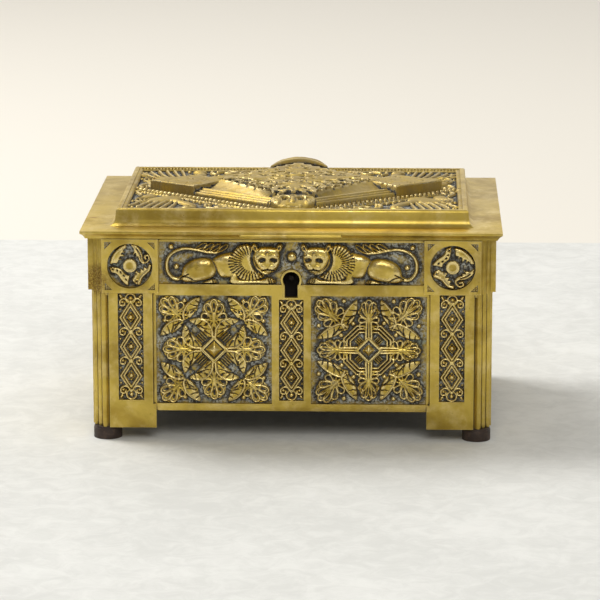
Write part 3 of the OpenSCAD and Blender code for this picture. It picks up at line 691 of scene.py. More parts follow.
def interlace(plate, length):
    """Double bands that cross and part round diamonds, with curls and beads beside the crossings."""
    half = length / 2
    count = int((length - 6.5) / 8.6)
    pitch = (length - 6.9) / count
    middle = [(k - (count - 1) / 2) * pitch for k in range(count)]
    for y in middle:
        for half_u, half_v in ((3.75, pitch * 0.545), (2.6, pitch * 0.39)):
            diamond = [(half_u, 0), (0, half_v), (-half_u, 0), (0, -half_v), (half_u, 0)]
            plate.stroke(np.array(diamond) + (0, y), 0.98, 1.25)
        diamond = [(1.35, 0), (0, 1.75), (-1.35, 0), (0, -1.75), (1.35, 0)]
        plate.stroke(np.array(diamond) + (0, y), 0.45, 0.6)
        plate.bead((0, y), 0.85, 1.1)
    for y in [middle[0] - pitch / 2] + [y + pitch / 2 for y in middle]:
        for flip in (-1, 1):
            hook = curve_through([(0.3 * flip, y + 0.1), (1.3 * flip, y + 1.15), (2.6 * flip, y + 1.5),
                                  (3.8 * flip, y + 0.6), (3.6 * flip, y - 0.9), (2.3 * flip, y - 1.0),
                                  (2.0 * flip, y)], 6)
            plate.stroke(hook, 0.95, 1.15, (1, 0.85))
            plate.bead((2.9 * flip, y + 0.2), 0.62, 1.0)
            plate.bead((3.8 * flip, y + 2.6), 0.45, 0.7)
            plate.bead((3.8 * flip, y - 2.6), 0.45, 0.7)
    for way in (-1, 1):
        y = (half - 1.9) * way
        plate.ring((0, y), 1.75, 0.8, 1.05)
        plate.bead((0, y), 0.8, 1.0)
        for flip in (-1, 1):
            plate.bead((3.4 * flip, y + 0.5 * way), 0.6, 0.8)


def roundel(plate, radius):
    """Four toothed crescents, curled and pierced, that chase each other round a flat boss."""
    k = radius / 7.3

    def place(points):
        return [(k * x, k * y) for x, y in points]

    def smooth(*points):
        return curve_through(place(points))

    plate.fill(place([(-6.5, 0.8), (-5.7, 3.4), (-3.8, 5.8), (-1.5, 7.1), (-1.1, 5.8), (-2.4, 5.2),
                      (-1.3, 4.4),
                      (-3.0, 4.1), (-1.4, 3.1), (-3.7, 2.8), (-2.6, 1.8), (-4.2, 1.7), (-3.9, 0.8)]),
               1.25)
    plate.stroke(smooth((-6.0, 1.0), (-5.1, 3.4), (-3.3, 5.4), (-1.5, 6.5)), 1.3, 1.5)
    plate.fill(place([(-5.6, 0.9), (-4.9, 3.2), (-3.2, 5.0), (-1.8, 5.6), (-2.6, 3.9), (-3.4, 2.3),
                      (-4.0, 0.9)]), 1.3)
    plate.fill(place([(0.6, 7.0), (2.4, 6.6), (3.9, 4.4), (4.3, 2.0), (4.9, 1.2), (4.1, 0.6), (3.0, 1.6),
                      (2.5, 3.0),
                      (2.1, 2.5), (1.9, 4.0), (0.9, 3.3), (1.3, 5.0)]), 1.1)
    plate.stroke(smooth((0.8, 6.7), (2.4, 4.6), (3.3, 2.3), (4.2, 1.0), (5.4, 1.2), (6.3, 2.2),
                                      (5.9, 3.4), (4.9, 3.2), (5.1, 2.3)), 1.05, 1.45, (0.8, 0.9))
    plate.groove(smooth((2.1, 5.6), (3.1, 4.2), (3.6, 2.5)), 0.4, 0.6)
    plate.fill(place([(7.0, 0.3), (6.6, -1.5), (4.4, -3.5), (3.3, -6.2), (1.7, -6.1), (0.7, -4.7),
                      (1.4, -3.2),
                      (1.9, -1.7), (3.1, -2.2), (3.4, -0.9), (4.2, -1.4), (4.5, -0.2), (5.4, -0.8)]),
               1.2)
    plate.stroke(smooth((6.5, 0.0), (5.9, -1.5), (4.0, -3.3), (2.8, -5.4)), 1.5, 1.5)
    plate.ring(place([(2.2, -5.2)])[0], 0.75, 0.4, 1.5)
    plate.fill(place([(-6.7, -0.5), (-4.6, -0.6), (-2.6, -1.3), (-1.2, -3.0), (-0.1, -3.4), (-0.4, -5.0),
                      (-0.8, -6.6), (-2.5, -5.2), (-4.3, -2.9), (-6.2, -2.1)]), 1.2)
    plate.ring(place([(-5.6, -1.25)])[0], 0.6, 0.4, 1.45)
    for at, turn in (((-4.1, -1.6), -70), ((-3.0, -2.2), -60), ((-2.0, -3.3), -50), ((-1.3, -4.6), -45)):
        plate.dent(place([at])[0], (0.62, 0.3), 0.9, turn)
    for at in ((2.2, -5.2), (-5.6, -1.25), (1.9, -2.7)):
        plate.dent(place([at])[0], (0.4, 0.4), 0.8)
    plate.fill([tuple(point) for point in arc((0, 0), 2.3 * k, 0, 345, 16)], 1.45, 0.2)
    plate.dent((0, 0), (2.0 * k, 2.0 * k), 0.12)


def lion(plate, way=1, shift=0.0, face=0.0):
    """A lion that lies with its face to the front and its tail curled up behind.

    It is drawn for a frieze's left half. way -1 mirrors it, shift moves it, and face turns the face."""

    def at(u, v):
        return (u * way + shift, v)

    def path(*points):
        return curve_through([at(*point) for point in points], 7)

    def outline(*points):
        return [at(*point) for point in points]

    # tail and its plume
    for k, (base, tip) in enumerate((((-34.6, 4.6), (-30.2, 6.9)), ((-31.9, 4.2), (-27.7, 6.9)),
                                     ((-29.4, 3.8), (-25.3, 6.7)), ((-27.0, 3.5), (-22.7, 6.4)))):
        plate.loop(at(*base), at(*tip), 1.7, 0.5, 1.0)
    plate.stroke(path((-38.4, -4.8), (-40.4, -6.0), (-42.6, -5.3), (-44.2, -2.9), (-44.4, 0.0),
                      (-43.3, 2.6),
                      (-40.7, 4.4), (-37.3, 5.1), (-33.6, 4.6), (-30.2, 3.9), (-27.0, 3.6)), 1.15, 1.15,
                 (1.3, 0.8))
    # body
    plate.fill(outline((-28.4, 0.9), (-26.6, 2.4), (-23.4, 3.5), (-20.4, 3.6), (-18.6, 0.0),
                       (-19.0, -4.6),
                       (-23.7, -5.4), (-25.6, -4.7), (-27.2, -1.6)), 1.5, 2.2)
    plate.blob(at(-23.4, 1.0), (3.4, 2.4), 0.5, -10 * way, over=True, power=1)
    # hind foot and haunch
    plate.fill(outline((-32.4, -7.5), (-29.4, -6.2), (-27.3, -6.0), (-26.3, -7.5)), 1.25, 0.7)
    plate.fill(outline((-39.2, -4.0), (-38.6, -1.8), (-36.9, 0.1), (-34.5, 1.3), (-31.6, 1.8),
                       (-28.8, 1.3),
                       (-27.0, -0.6), (-26.7, -3.0), (-27.8, -5.1), (-30.6, -6.3), (-34.8, -7.2),
                       (-38.4, -6.9),
                       (-39.4, -5.6)), 1.9, 2.6)
    plate.blob(at(-32.6, -1.8), (4.6, 2.6), 0.35, 14 * way, over=True, power=1)
    plate.groove(path((-39.6, -5.7), (-38.2, -4.8), (-36.6, -3.9)), 0.6, 0.9, (1, 0.6))
    plate.groove(path((-38.0, -4.9), (-36.2, -5.4), (-34.4, -6.6), (-31.6, -6.6), (-29.0, -6.1)), 0.5,
                 0.6)
    for k in range(3):
        plate.groove([at(-28.3 + 0.75 * k, -6.0), at(-27.5 + 0.75 * k, -7.6)], 0.38, 0.7)
    # mane, low under the chin and high behind the ears
    plate.fill(outline((-18.8, 6.3), (-20.8, 4.2), (-21.7, 1.6), (-21.5, -1.2), (-20.2, -3.8),
                       (-18.2, -5.9),
                       (-15.5, -6.6), (-12.2, -6.1), (-9.0, -4.6), (-8.0, -3.6), (-12.0, -1.0),
                       (-13.2, 3.0),
                       (-13.6, 5.6), (-15.8, 6.9)), 1.65, 0.9)
    begin = 62 if way > 0 else 118
    for row, (ru, rv, count,
              size) in enumerate(((7.9, 6.2, 26, 1.7), (6.1, 4.8, 24, 1.1), (4.7, 3.6, 20, 0.9))):
        for angle in np.radians(np.linspace(begin + 8 * row * way, begin + 235 * way, count)):
            ray = np.array([math.cos(angle), math.sin(angle)])
            middle = np.array(at(-13.5, 0.3)) + ray * (ru, rv)
            plate.groove([middle - ray * size / 2, middle + ray * size / 2], 0.5, 0.62 - 0.08 * row,
                         (0.7, 1.2))
    # foreleg, paw and claws
    plate.fill(outline((-21.3, -3.6), (-19.4, -3.9), (-18.9, -5.6), (-17.2, -6.0), (-10.4, -5.9),
                       (-8.6, -5.1),
                       (-6.4, -5.6), (-5.9, -7.5), (-13.0, -7.6), (-21.5, -7.5)), 1.5, 0.8)
    for k in range(3):
        plate.groove([at(-8.4 + 0.85 * k, -5.2), at(-7.6 + 0.75 * k, -7.4)], 0.4, 0.8)
    # head, whose features hang on the nose
    nose = -8.3 + face
    plate.groove(path((-13.2, 5.4), (-14.1, 2.0), (-13.3, -1.4), (-10.8, -3.9), (-7.6, -4.7)), 1.1, 1.2)
    plate.fill(outline((-13.0, 5.0), (-13.5, 2.2), (-12.4, -0.8), (-10.7, -2.9), (-8.4, -3.9),
                       (-6.0, -3.1),
                       (-4.4, -0.9), (-3.9, 2.2), (-4.5, 5.1), (-6.8, 5.9), (-10.6, 5.9)), 2.1, 1.9)
    for side in (-1, 1):
        ear = at(-8.6 + 4.3 * side, 5.5)
        plate.blob(ear, (1.15, 1.75), 2.15, 24 * side * -way)
        plate.dent(ear, (0.6, 1.1), 1.1, 24 * side * -way)
        eye = at(nose + 2.05 * side, 1.25)
        plate.dent(eye, (1.5, 0.9), 1.5, -14 * side * way)
        plate.blob(eye, (0.5, 0.35), 0.3, over=True)
        plate.stroke(path((nose + 0.7 * side, 2.4), (nose + 2.2 * side, 2.95),
                          (nose + 3.7 * side, 2.1)), 1.0, 0.36, over=True)
        plate.blob(at(nose + 1.25 * side, -1.55), (1.5, 1.2), 0.42, over=True, power=0.8)
        plate.dent(at(nose + 0.45 * side, -0.55), (0.34, 0.28), 0.5)
    plate.stroke(path((nose - 0.2, 3.6), (nose - 0.1, 1.2), (nose, -0.5)), 1.6, 0.6, (0.6, 1.15),
                 over=True)
    plate.dent(at(nose - 0.2, 4.1), (1.0, 0.8), 0.3)
    plate.groove(path((nose - 2.1, -2.5), (nose, -2.1), (nose + 2.1, -2.5)), 0.6, 1.0)
    plate.groove([at(nose, -0.8), at(nose, -2.1)], 0.32, 0.45)
    # beads of the ground
    plate.bead(at(-42.9, 5.7), 0.95, 1.1)
    plate.bead(at(-41.0, -1.5), 1.0, 1.15)


# ---- from heights to closed meshes ----


def deselect_all():
    if bpy.context.object and bpy.context.object.mode != "OBJECT":
        bpy.ops.object.mode_set(mode="OBJECT")
    bpy.ops.object.select_all(action="DESELECT")


def pick(obj):
    deselect_all()
    obj.select_set(True)
    bpy.context.view_layer.objects.active = obj
    return obj


def write_attribute(mesh, name, values):
    attribute = mesh.attributes.get(name) or mesh.attributes.new(name, "FLOAT", "POINT")
    attribute.data.foreach_set("value", np.ascontiguousarray(values, np.float32))


def mark(mesh, patina_and_shade, high, corner):
    """Writes what the brass reads: the hollows' mark carries patina and painted shade, high carries
    rubbed wear and a painted highlight, and corner keeps dust away.
    """
    for name, values in (("patina_and_shade", patina_and_shade), ("corner", corner), ("high", high)):
        write_attribute(mesh, name, values)


def read_points(mesh):
    co = np.zeros(len(mesh.vertices) * 3)
    mesh.vertices.foreach_get("co", co)
    return co.reshape(-1, 3)


def write_points(mesh, points):
    mesh.vertices.foreach_set("co", np.ascontiguousarray(points.ravel()))
    mesh.update()


def relief_object(name, plate, keep=None, rim=None, low_share=1.0, back=0.0, snug=1.0):
    """A closed solid whose top follows the plate's heights, with its marks of the hollows' patina and
    painted shade, and of the rubbed and highlighted heights.

    keep is True at the grid points that stay. rim moves points, and takes and gives u and v.
    low_share is how much patina the ground gets just for being low, back how high the flat back lies,
    and snug how much the foot of a form keeps dust away."""
    rows, columns = plate.h.shape
    deselect_all()
    bpy.ops.mesh.primitive_grid_add(x_subdivisions=columns - 1, y_subdivisions=rows - 1, size=2)
    obj = bpy.context.object
    obj.name = obj.data.name = name
    mesh = obj.data
    unit = read_points(mesh)
    i = np.rint((unit[:, 0] + 1) / 2 * (columns - 1)).astype(int)
    j = np.rint((unit[:, 1] + 1) / 2 * (rows - 1)).astype(int)
    u, v, h = plate.u[i], plate.v[j], plate.h[j, i]
    near, wide = plate.spread(0.45), plate.spread(1.5)
    # patina on the low ground and in recesses, with painted shade in creases; raised points get rubbed
    # wear and a painted highlight
    low = np.clip(1.1 - (plate.h - plate.ground) / 0.45, 0, 1) * low_share
    patina_and_shade = np.clip(np.clip((wide - plate.h) / 0.7, 0, 1) * 0.8 + low * 0.6, 0, 1)
    corner = np.clip((near - plate.h) / 0.16, 0, 1)
    high = np.clip((plate.h - wide) / 0.7 + 0.15, 0, 1)
    # the drawing's painted shade joins the hollows' mark, and keeps dust off
    patina_and_shade = np.maximum(np.maximum(patina_and_shade, corner * 0.9), plate.painted_shade)[j, i]
    corner, high = np.maximum(corner * snug, plate.painted_shade)[j, i], high[j, i]
    if rim:
        to_u, to_v = rim(u, v)
        moved = np.hypot(to_u - u, to_v - v) > 1e-6
        patina_and_shade, high = np.where(moved, 0.35, patina_and_shade), np.where(moved, 0.2, high)
        corner = np.where(moved, 0, corner)
        u, v = to_u, to_v
    mark(mesh, patina_and_shade, high, corner)
    write_points(mesh, np.stack([u, v, h], 1) * MM)
    bpy.ops.object.mode_set(mode="EDIT")
    bpy.ops.mesh.select_mode(type="VERT")
    if keep is not None:
        bpy.ops.mesh.select_all(action="DESELECT")
        bpy.ops.object.mode_set(mode="OBJECT")
        mesh.vertices.foreach_set("select", ~keep[j, i])
        bpy.ops.object.mode_set(mode="EDIT")
        bpy.ops.mesh.delete(type="VERT")
    bpy.ops.mesh.select_mode(type="EDGE")
    bpy.ops.mesh.select_all(action="DESELECT")
    bpy.ops.mesh.select_non_manifold(extend=False)
    bpy.ops.mesh.extrude_region_move(TRANSFORM_OT_translate={"value": (0, 0, -0.01 * MM)})
    bpy.ops.transform.resize(value=(1, 1, 0), center_override=(0, 0, back * MM))
    bpy.ops.mesh.fill(use_beauty=False)
    bpy.ops.mesh.select_all(action="SELECT")
    bpy.ops.mesh.normals_make_consistent(inside=False)
    bpy.ops.object.mode_set(mode="OBJECT")
    bpy.ops.object.shade_smooth_by_angle(angle=math.radians(60))
    return obj


def turn_to(side, size=3):
    return Matrix.Rotation(math.radians(SIDE_TURN[side]), size, "Z")


def facing(side):
    """Turns a plate drawn with u to the right, v up and heights outwards, to a side of the case."""
    return turn_to(side, 4) @ Matrix(((1, 0, 0), (0, 0, -1), (0, 1, 0))).to_4x4()


def middle_of(node):
    low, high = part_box(node)
    return (low + high) / 2


def face_extent(node, side):
    """Width and height in mm of a node as its side is faced, and the point at the middle of its back."""
    low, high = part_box(node)
    size = high - low
    middle = (low + high) / 2
    width = size.x if side in ("front", "back") else size.y
    out = turn_to(side) @ Vector((0, -1, 0))
    depth = abs(size.dot(out))
    return width / MM, size.z / MM, middle - out * depth / 2


def copied(master):
    piece = master.copy()
    piece.data = master.data.copy()
    bpy.context.scene.collection.objects.link(piece)
    return piece


def set_on(master, name, side, at, stretch=(1, 1)):
    """A copy of a finished plate, stretched, and put on a side of the case with its back at a point."""
    piece = copied(master)
    piece.name = piece.data.name = name
    piece.data.transform(Matrix.Translation(at) @ facing(side) @ Matrix.Diagonal((*stretch, 1, 1)))
    return piece


def plates_for(kind, places, draw):
    """Draws one plate and sets a stretched copy of it on each node named kind_plate_place.

    A place starts with its side, such as front_left."""
    jobs = [(f"{kind}_{place}", place.split("_")[0], f"{kind}_plate_{place}") for place in places]
    _, side, node = jobs[0]
    width, height, _ = face_extent(node, side)
    plate = Relief(width, height, sizes().cell / MM, 0.25)
    draw(plate)
    plate.cast(0.1, 1.5 + sizes().relief_proud / MM, (0.02, 0.8), (0.03, 3.0))
    master = relief_object(kind + "_master", plate)
    for name, side, node in jobs:
        own_width, own_height, at = face_extent(node, side)
        stretch = own_width / width, own_height / height
        dress(set_on(master, name, side, at, stretch), "reliefs", "case", node)
    bpy.data.objects.remove(master)


def set_pair(masters, names, node, side, width):
    """Sets a plate at each end of a node that holds two, the left one as the side is faced first."""
    full, _, back = face_extent(node, side)
    for master, name, way in zip(masters, names, (-1, 1)):
        shift = turn_to(side) @ Vector((way * (full - width) / 2 * MM, 0, 0))
        dress(set_on(master, name, side, back + shift), "reliefs", "case", node)


# ---- castings from the CAD ----


def refined(node, edge):
    """A copy of a CAD node with merged corners, joined flats and edges rounded by edge."""
    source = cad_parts[node]
    piece = bpy.data.objects.new(node + "_cast", source.data.copy())
    bpy.context.scene.collection.objects.link(piece)
    pick(piece)
    bpy.ops.object.mode_set(mode="EDIT")
    bpy.ops.mesh.select_all(action="SELECT")
    bpy.ops.mesh.remove_doubles(threshold=0.002 * MM)
    bpy.ops.mesh.dissolve_limited(angle_limit=math.radians(0.7))
    bpy.ops.object.mode_set(mode="OBJECT")
    rounding = piece.modifiers.new("edge", "BEVEL")
    rounding.width = edge or sizes().edge
    rounding.segments = 2
    rounding.limit_method = "ANGLE"
    rounding.angle_limit = math.radians(35)
    rounding.use_clamp_overlap = True
    bpy.ops.object.modifier_apply(modifier=rounding.name)
    bpy.ops.object.shade_smooth_by_angle(angle=math.radians(30))
    return piece


def cast(node, finish_name="castings", body="case", edge=None):
    return dress(refined(node, edge), finish_name, body, node)


# ---- operators ----


def room():
    """A world of warm white light that grows from the front of the room to its back."""
    world = bpy.data.worlds.new("room")
    world.use_nodes = True
    nodes, link = world.node_tree.nodes, world.node_tree.links.new
    background = nodes["Background"]
    background.inputs["Color"].default_value = (1.0, 0.965, 0.91, 1)
    towards = nodes.new("ShaderNodeTexCoord")
    split = nodes.new("ShaderNodeSeparateXYZ")
    wall = nodes.new("ShaderNodeMapRange")
    for index, value in enumerate((0.1, 0.75, 0.32, 0.80), 1):
        wall.inputs[index].default_value = value
    link(towards.outputs["Generated"], split.inputs[0])
    link(split.outputs["Y"], wall.inputs[0])
    link(wall.outputs[0], background.inputs["Strength"])
    return world


class CASKET_OT_stage(bpy.types.Operator):
    """Sets the table, the lights and the camera"""

    bl_idname = "casket.stage"
    bl_label = "Stage"

    def execute(self, context):
        scene = context.scene
        deselect_all()
        bpy.ops.mesh.primitive_plane_add(size=12)
        floor = context.object
        floor.name = "table"
        floor.data.materials.append(floor_finish(TABLE_EDGE))
        scene.world = room()
        for name, place, size, power, colour in LAMPS:
            lamp = bpy.data.lights.new(name, "AREA")
            lamp.size, lamp.energy, lamp.color = size, power, colour
            holder = bpy.data.objects.new(name, lamp)
            holder.location = place
            holder.rotation_euler = (LAMPS_AIM - Vector(place)).to_track_quat("-Z", "Y").to_euler()
            scene.collection.objects.link(holder)

        lens = bpy.data.cameras.new("camera")
        lens.sensor_width, lens.lens, lens.clip_end = 36, CAMERA_LENS, 30
        camera = bpy.data.objects.new("camera", lens)
        camera.location = CAMERA_AT
        turns = (("Z", -CAMERA_YAW), ("X", 90 - CAMERA_PITCH), ("Z", CAMERA_ROLL))
        yaw, pitch, roll = (Matrix.Rotation(math.radians(angle), 3, axis) for axis, angle in turns)
        camera.rotation_euler = (yaw @ pitch @ roll).to_euler()
        scene.collection.objects.link(camera)
        scene.camera = camera
        scene.view_settings.view_transform = "Standard"
        scene.view_settings.look = "None"
        return {"FINISHED"}


class CASKET_OT_rosettes(bpy.types.Operator):
    """Models the square rosette plates"""

    bl_idname = "casket.rosettes"
    bl_label = "Rosette plates"

    def execute(self, context):
        plates_for("rosette", ("front_left", "back_right", "left"), rosette_leafy)
        plates_for("rosette", ("front_right", "back_left", "right"), rosette_strapped)
        return {"FINISHED"}


def frieze_pair(plate):
    lion(plate)
    lion(plate, -1, 0.3, 0.7)
    plate.bead((0.2, 2.25), 1.7, 1.6)


class CASKET_OT_friezes(bpy.types.Operator):
    """Models the lion friezes"""

    bl_idname = "casket.friezes"
    bl_label = "Lion friezes"

    def execute(self, context):
        width, height, at = face_extent("frieze_plate_front", "front")
        plate = Relief(width, height, sizes().cell / MM, 0.25)
        frieze_pair(plate)
        plate.cast(0.1, 2.6, (0.03, 0.7), (0.03, 3.0))
        u, v = np.meshgrid(plate.u, plate.v)
        key_v = (middle_of("lock_key_pin").z - at.z) / MM
        keep = (np.hypot(u, v - key_v) > KEY_CLEAR) & ((np.abs(u) > KEY_SLOT_CLEAR) | (v > key_v))
        master = relief_object("frieze_master", plate, keep)
        dress(set_on(master, "frieze_front", "front", at), "reliefs", "case", "frieze_plate_front")
        bpy.data.objects.remove(master)
        plates_for("frieze", ("back",), frieze_pair)
        plates_for("frieze", ("left", "right"), lambda plate: lion(plate, 1, 24.2))
        return {"FINISHED"}


def bead_row(plate, length):
    for y in np.arange(-length / 2 + 1.4, length / 2 - 1, 2.1):
        plate.bead((0, y), 0.85, 1.1)


class CASKET_OT_interlace(bpy.types.Operator):
    """Models the interlace and bead strips"""

    bl_idname = "casket.interlace"
    bl_label = "Interlace strips"

    def execute(self, context):
        plates_for("interlace", ("front", "back"), lambda plate: interlace(plate, plate.v[-1] * 2))
        self.strips("pilaster_strips", SIDE_TURN, STRIP_WIDTH, interlace, ((0.02, 0.8),), 0.4)
        self.strips("bead_strips", ("left", "right"), BEADS_WIDTH, bead_row, (), 1.0)
        return {"FINISHED"}

    def strips(self, stem, sides, width, draw, grains, snug):
        """Draws one upright strip, and sets a pair of it on each of some sides."""
        first = tuple(sides)[0]
        _, height, _ = face_extent(f"{stem}_{first}", first)
        plate = Relief(width, height, sizes().cell / MM, 0.25)
        draw(plate, height)
        plate.cast(0.1, 1.6, *grains)
        master = relief_object(stem + "_master", plate, snug=snug)
        for side in sides:
            node = f"{stem}_{side}"
            set_pair((master, master), (node + "_a", node + "_b"), node, side, width)
        bpy.data.objects.remove(master)


class CASKET_OT_roundels(bpy.types.Operator):
    """Models the roundels of the pilaster heads"""

    bl_idname = "casket.roundels"
    bl_label = "Roundels"

    def execute(self, context):
        low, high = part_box("roundels_front")
        radius = (high.z - low.z) / MM / 2

        def to_circle(u, v):
            far = np.maximum(np.hypot(u, v), 1e-9)
            pull = np.minimum(1, radius / far)
            return u * pull, v * pull

        masters = []
        for variant in (0, 1):
            plate = Relief(2 * radius, 2 * radius, sizes().cell / MM, 0.3)
            roundel(plate, radius)
            if variant:
                plate.h = np.rot90(plate.h).copy()
            plate.cast(0.1, 2.0, (0.02, 0.7))
            u, v = np.meshgrid(plate.u, plate.v)
            keep = np.hypot(u, v) < radius + 0.9 * sizes().cell / MM
            masters.append(relief_object(f"roundel_master_{variant}", plate, keep, to_circle, snug=0.35))
        for side in SIDE_TURN:
            names = (f"roundel_{side}_0", f"roundel_{side}_1")
            set_pair(masters, names, "roundels_" + side, side, 2 * radius)
        for master in masters:
            bpy.data.objects.remove(master)
        trefoils()
        return {"FINISHED"}


def trefoils():
    """The small sunk triangles with three beads, in the corners of every pilaster's head."""
    leg, border = 2.5, 1.1
    _, roundel_height, _ = face_extent("roundels_front", "front")
    rise = middle_of("roundels_front").z
    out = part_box("corner_post_front_left")[1].z - rise - 1.15 * MM
    plate = Relief(leg, leg, 0.12, 0.08)
    for at in ((-0.7, -0.7), (-0.75, 0.1), (0.1, -0.75)):
        plate.bead(at, 0.3, 0.38)
    u, v = np.meshgrid(plate.u, plate.v)
    master = relief_object("trefoil_master", plate, u + v < 0.08)
    for side in SIDE_TURN:
        full, _, back = face_extent("roundels_" + side, side)
        turn = turn_to(side)
        parts = []
        for way, fu, fv in itertools.product((-1, 1), repeat=3):
            part = copied(master)
            part.data.transform(Matrix.Diagonal((-fu, -fv, 1, 1)))
            if fu * fv < 0:
                part.data.flip_normals()
            across = way * (full - roundel_height) / 2 + fu * (HEAD_HALF - border - leg / 2)
            place = back + turn @ Vector((across * MM, -1.5 * MM, 0))
            place.z = rise + fv * (out - leg / 2 * MM)
            part.data.transform(Matrix.Translation(place) @ facing(side))
            parts.append(part)
        pick(parts[0])
        for part in parts:
            part.select_set(True)
        bpy.ops.object.join()
        parts[0].name = parts[0].data.name = "trefoils_" + side
        dress(parts[0], "reliefs", "case")
    bpy.data.objects.remove(master)


class CASKET_OT_castings(bpy.types.Operator):
    """Models the panels, posts and floor"""

    bl_idname = "casket.castings"
    bl_label = "Case castings"

    def execute(self, context):
        for node in ("front_panel", "back_panel", "left_panel", "right_panel"):
            cast(node)
        # the floor plate is marked evenly all over: partly soil, partly painted shade under the case;
        # its corner mark keeps dust off
        waxed(cast("floor_plate"), 0.8, 0, 1.3)
        for end in ("front_left", "front_right", "back_left", "back_right"):
            cast("corner_post_" + end)
            cast("foot_" + end, "feet", edge=0.5 * MM)
        cast("foot_screws", edge=0.1 * MM)
        return {"FINISHED"}


def spandrel(plate, fu, fv):
    """A winged beast in scrolls, in a corner of the lid's panel. fu and fv say which corner."""

    def at(u, v):
        return (u * fu, v * fv)

    def path(*points):
        return curve_through([at(*point) for point in points], 6)

    hand = fu * fv
    plate.blob(at(47, 19), (7.6, 4.4), 1.5, 38 * hand, power=0.4)
    plate.blob(at(53.5, 13.5), (4.2, 2.6), 1.2, 65 * hand, power=0.4)
    plate.stroke(path((44, 21), (39.5, 26), (36.5, 30.5), (38, 34.5)), 4.0, 1.3, (1.1, 0.7))
    plate.blob(at(37.6, 35.2), (2.9, 2.0), 1.5, 20 * hand, power=0.4)
    plate.dent(at(37.2, 35.4), (0.6, 0.6), 0.8)
    for k in range(6):
        tip = (44.5 + 2.9 * k, 37.2 - 0.9 * max(0, k - 2) ** 1.6)
        plate.stroke(path((42.5 + 1.7 * k, 24.5 - 1.3 * k), (43.5 + 2.5 * k, 31.5 - 1.0 * k), tip), 1.35,
                     1.25,
                     (0.7, 1.0))
    for k in range(4):
        plate.stroke(path(*[(51 + (2.2 + 1.5 * k) * math.cos(a), 20 + (2.2 + 1.5 * k) * math.sin(a))
                            for a in np.radians(np.linspace(-60, 75, 6))]), 0.8, 1.05)
    for k in range(5):
        plate.stroke(path((43 - 2.2 * k, 15.5 + 2.2 * k), (41.2 - 2.2 * k, 17.0 + 2.0 * k),
                          (40.4 - 2.2 * k, 19.6 + 2.1 * k)), 1.1, 1.1, (1.0, 0.5))
    plate.stroke(path((56.5, 10), (58.3, 6), (56, 2.6), (53.6, 4.2), (55.2, 6.2)), 1.3, 1.2, (1.2, 0.7))
    plate.stroke(path((31, 35.5), (27, 37.4), (23.8, 35.3), (25.4, 32.6), (28, 33.6), (26.8, 35)), 1.2,
                 1.2)
    plate.stroke(path((23.5, 36.8), (19, 38), (15.6, 37.4), (16, 35.5), (18.2, 36.0)), 1.1, 1.15)
    for u, v, turn in ((31.5, 31.5, -20), (22.2, 33.8, 40), (13.0, 38.3, 80), (57.2, 27.5, -60),
                       (50.5, 8.2, 10)):
        half_leaf(plate,
                  turned([(0, 0), (0.9, 1.5), (0.9, 3.3), (-0.2, 5.2)], turn * hand, fu < 0, at(u, v)),
                  fu, 4, 2.0, 1.1)
    for u, v in ((33.2, 37.9), (20.6, 35.4), (58.6, 22.0), (57.9, 33.6), (41.7, 36.9), (30.2, 29.6),
                 (47, 11.6)):
        plate.bead(at(u, v), 0.75, 0.95)


def lid_panel(plate):
    """The flat of the lid: a border, a rope lozenge, and a beast in each corner."""
    half_u, half_v = plate.u[-1], plate.v[-1]
    for fu, fv in QUARTERS:
        spandrel(plate, fu, fv)
        plate.rope((half_u * fu, 45 * (1 - half_u / 59) * fv),
                   (59 * (1 - half_v / 45) * fu, half_v * fv),
                   2.2, 1.6, 2.0)
        plate.stroke([(half_u * fu, (46.4 * (1 - half_u / 60) + 1.9) * fv),
                      ((60 * (1 - half_v / 46.4) + 2.4) * fu, half_v * fv)], 0.6, 0.8)
    u, v = np.meshgrid(plate.u, plate.v)
    edge = np.minimum(half_u - np.abs(u), half_v - np.abs(v))
    border = np.where(edge < 1.5, 1.75 - 0.5 * np.clip((edge - 0.9) / 0.6, 0, 1), 0)
    dashes = (v > 0) & (half_v - np.abs(v) < 1.25) & (np.mod(u, 1.25) < 0.42) & (edge > 0.35)
    plate.h = np.maximum(plate.h, np.where(dashes, 0.6, border))


def crown_lobes(u, v, low, high):
    """How far points lie through the front and back lobes of the crown: below 1 is inside."""
    return [np.abs(u / r) ** LOBE_POWER + np.abs((v - y) / (r * 0.95)) ** LOBE_POWER
            for r, y in ((FRONT_LOBE, low + FRONT_LOBE_IN), (BACK_LOBE, high - BACK_LOBE_IN))]


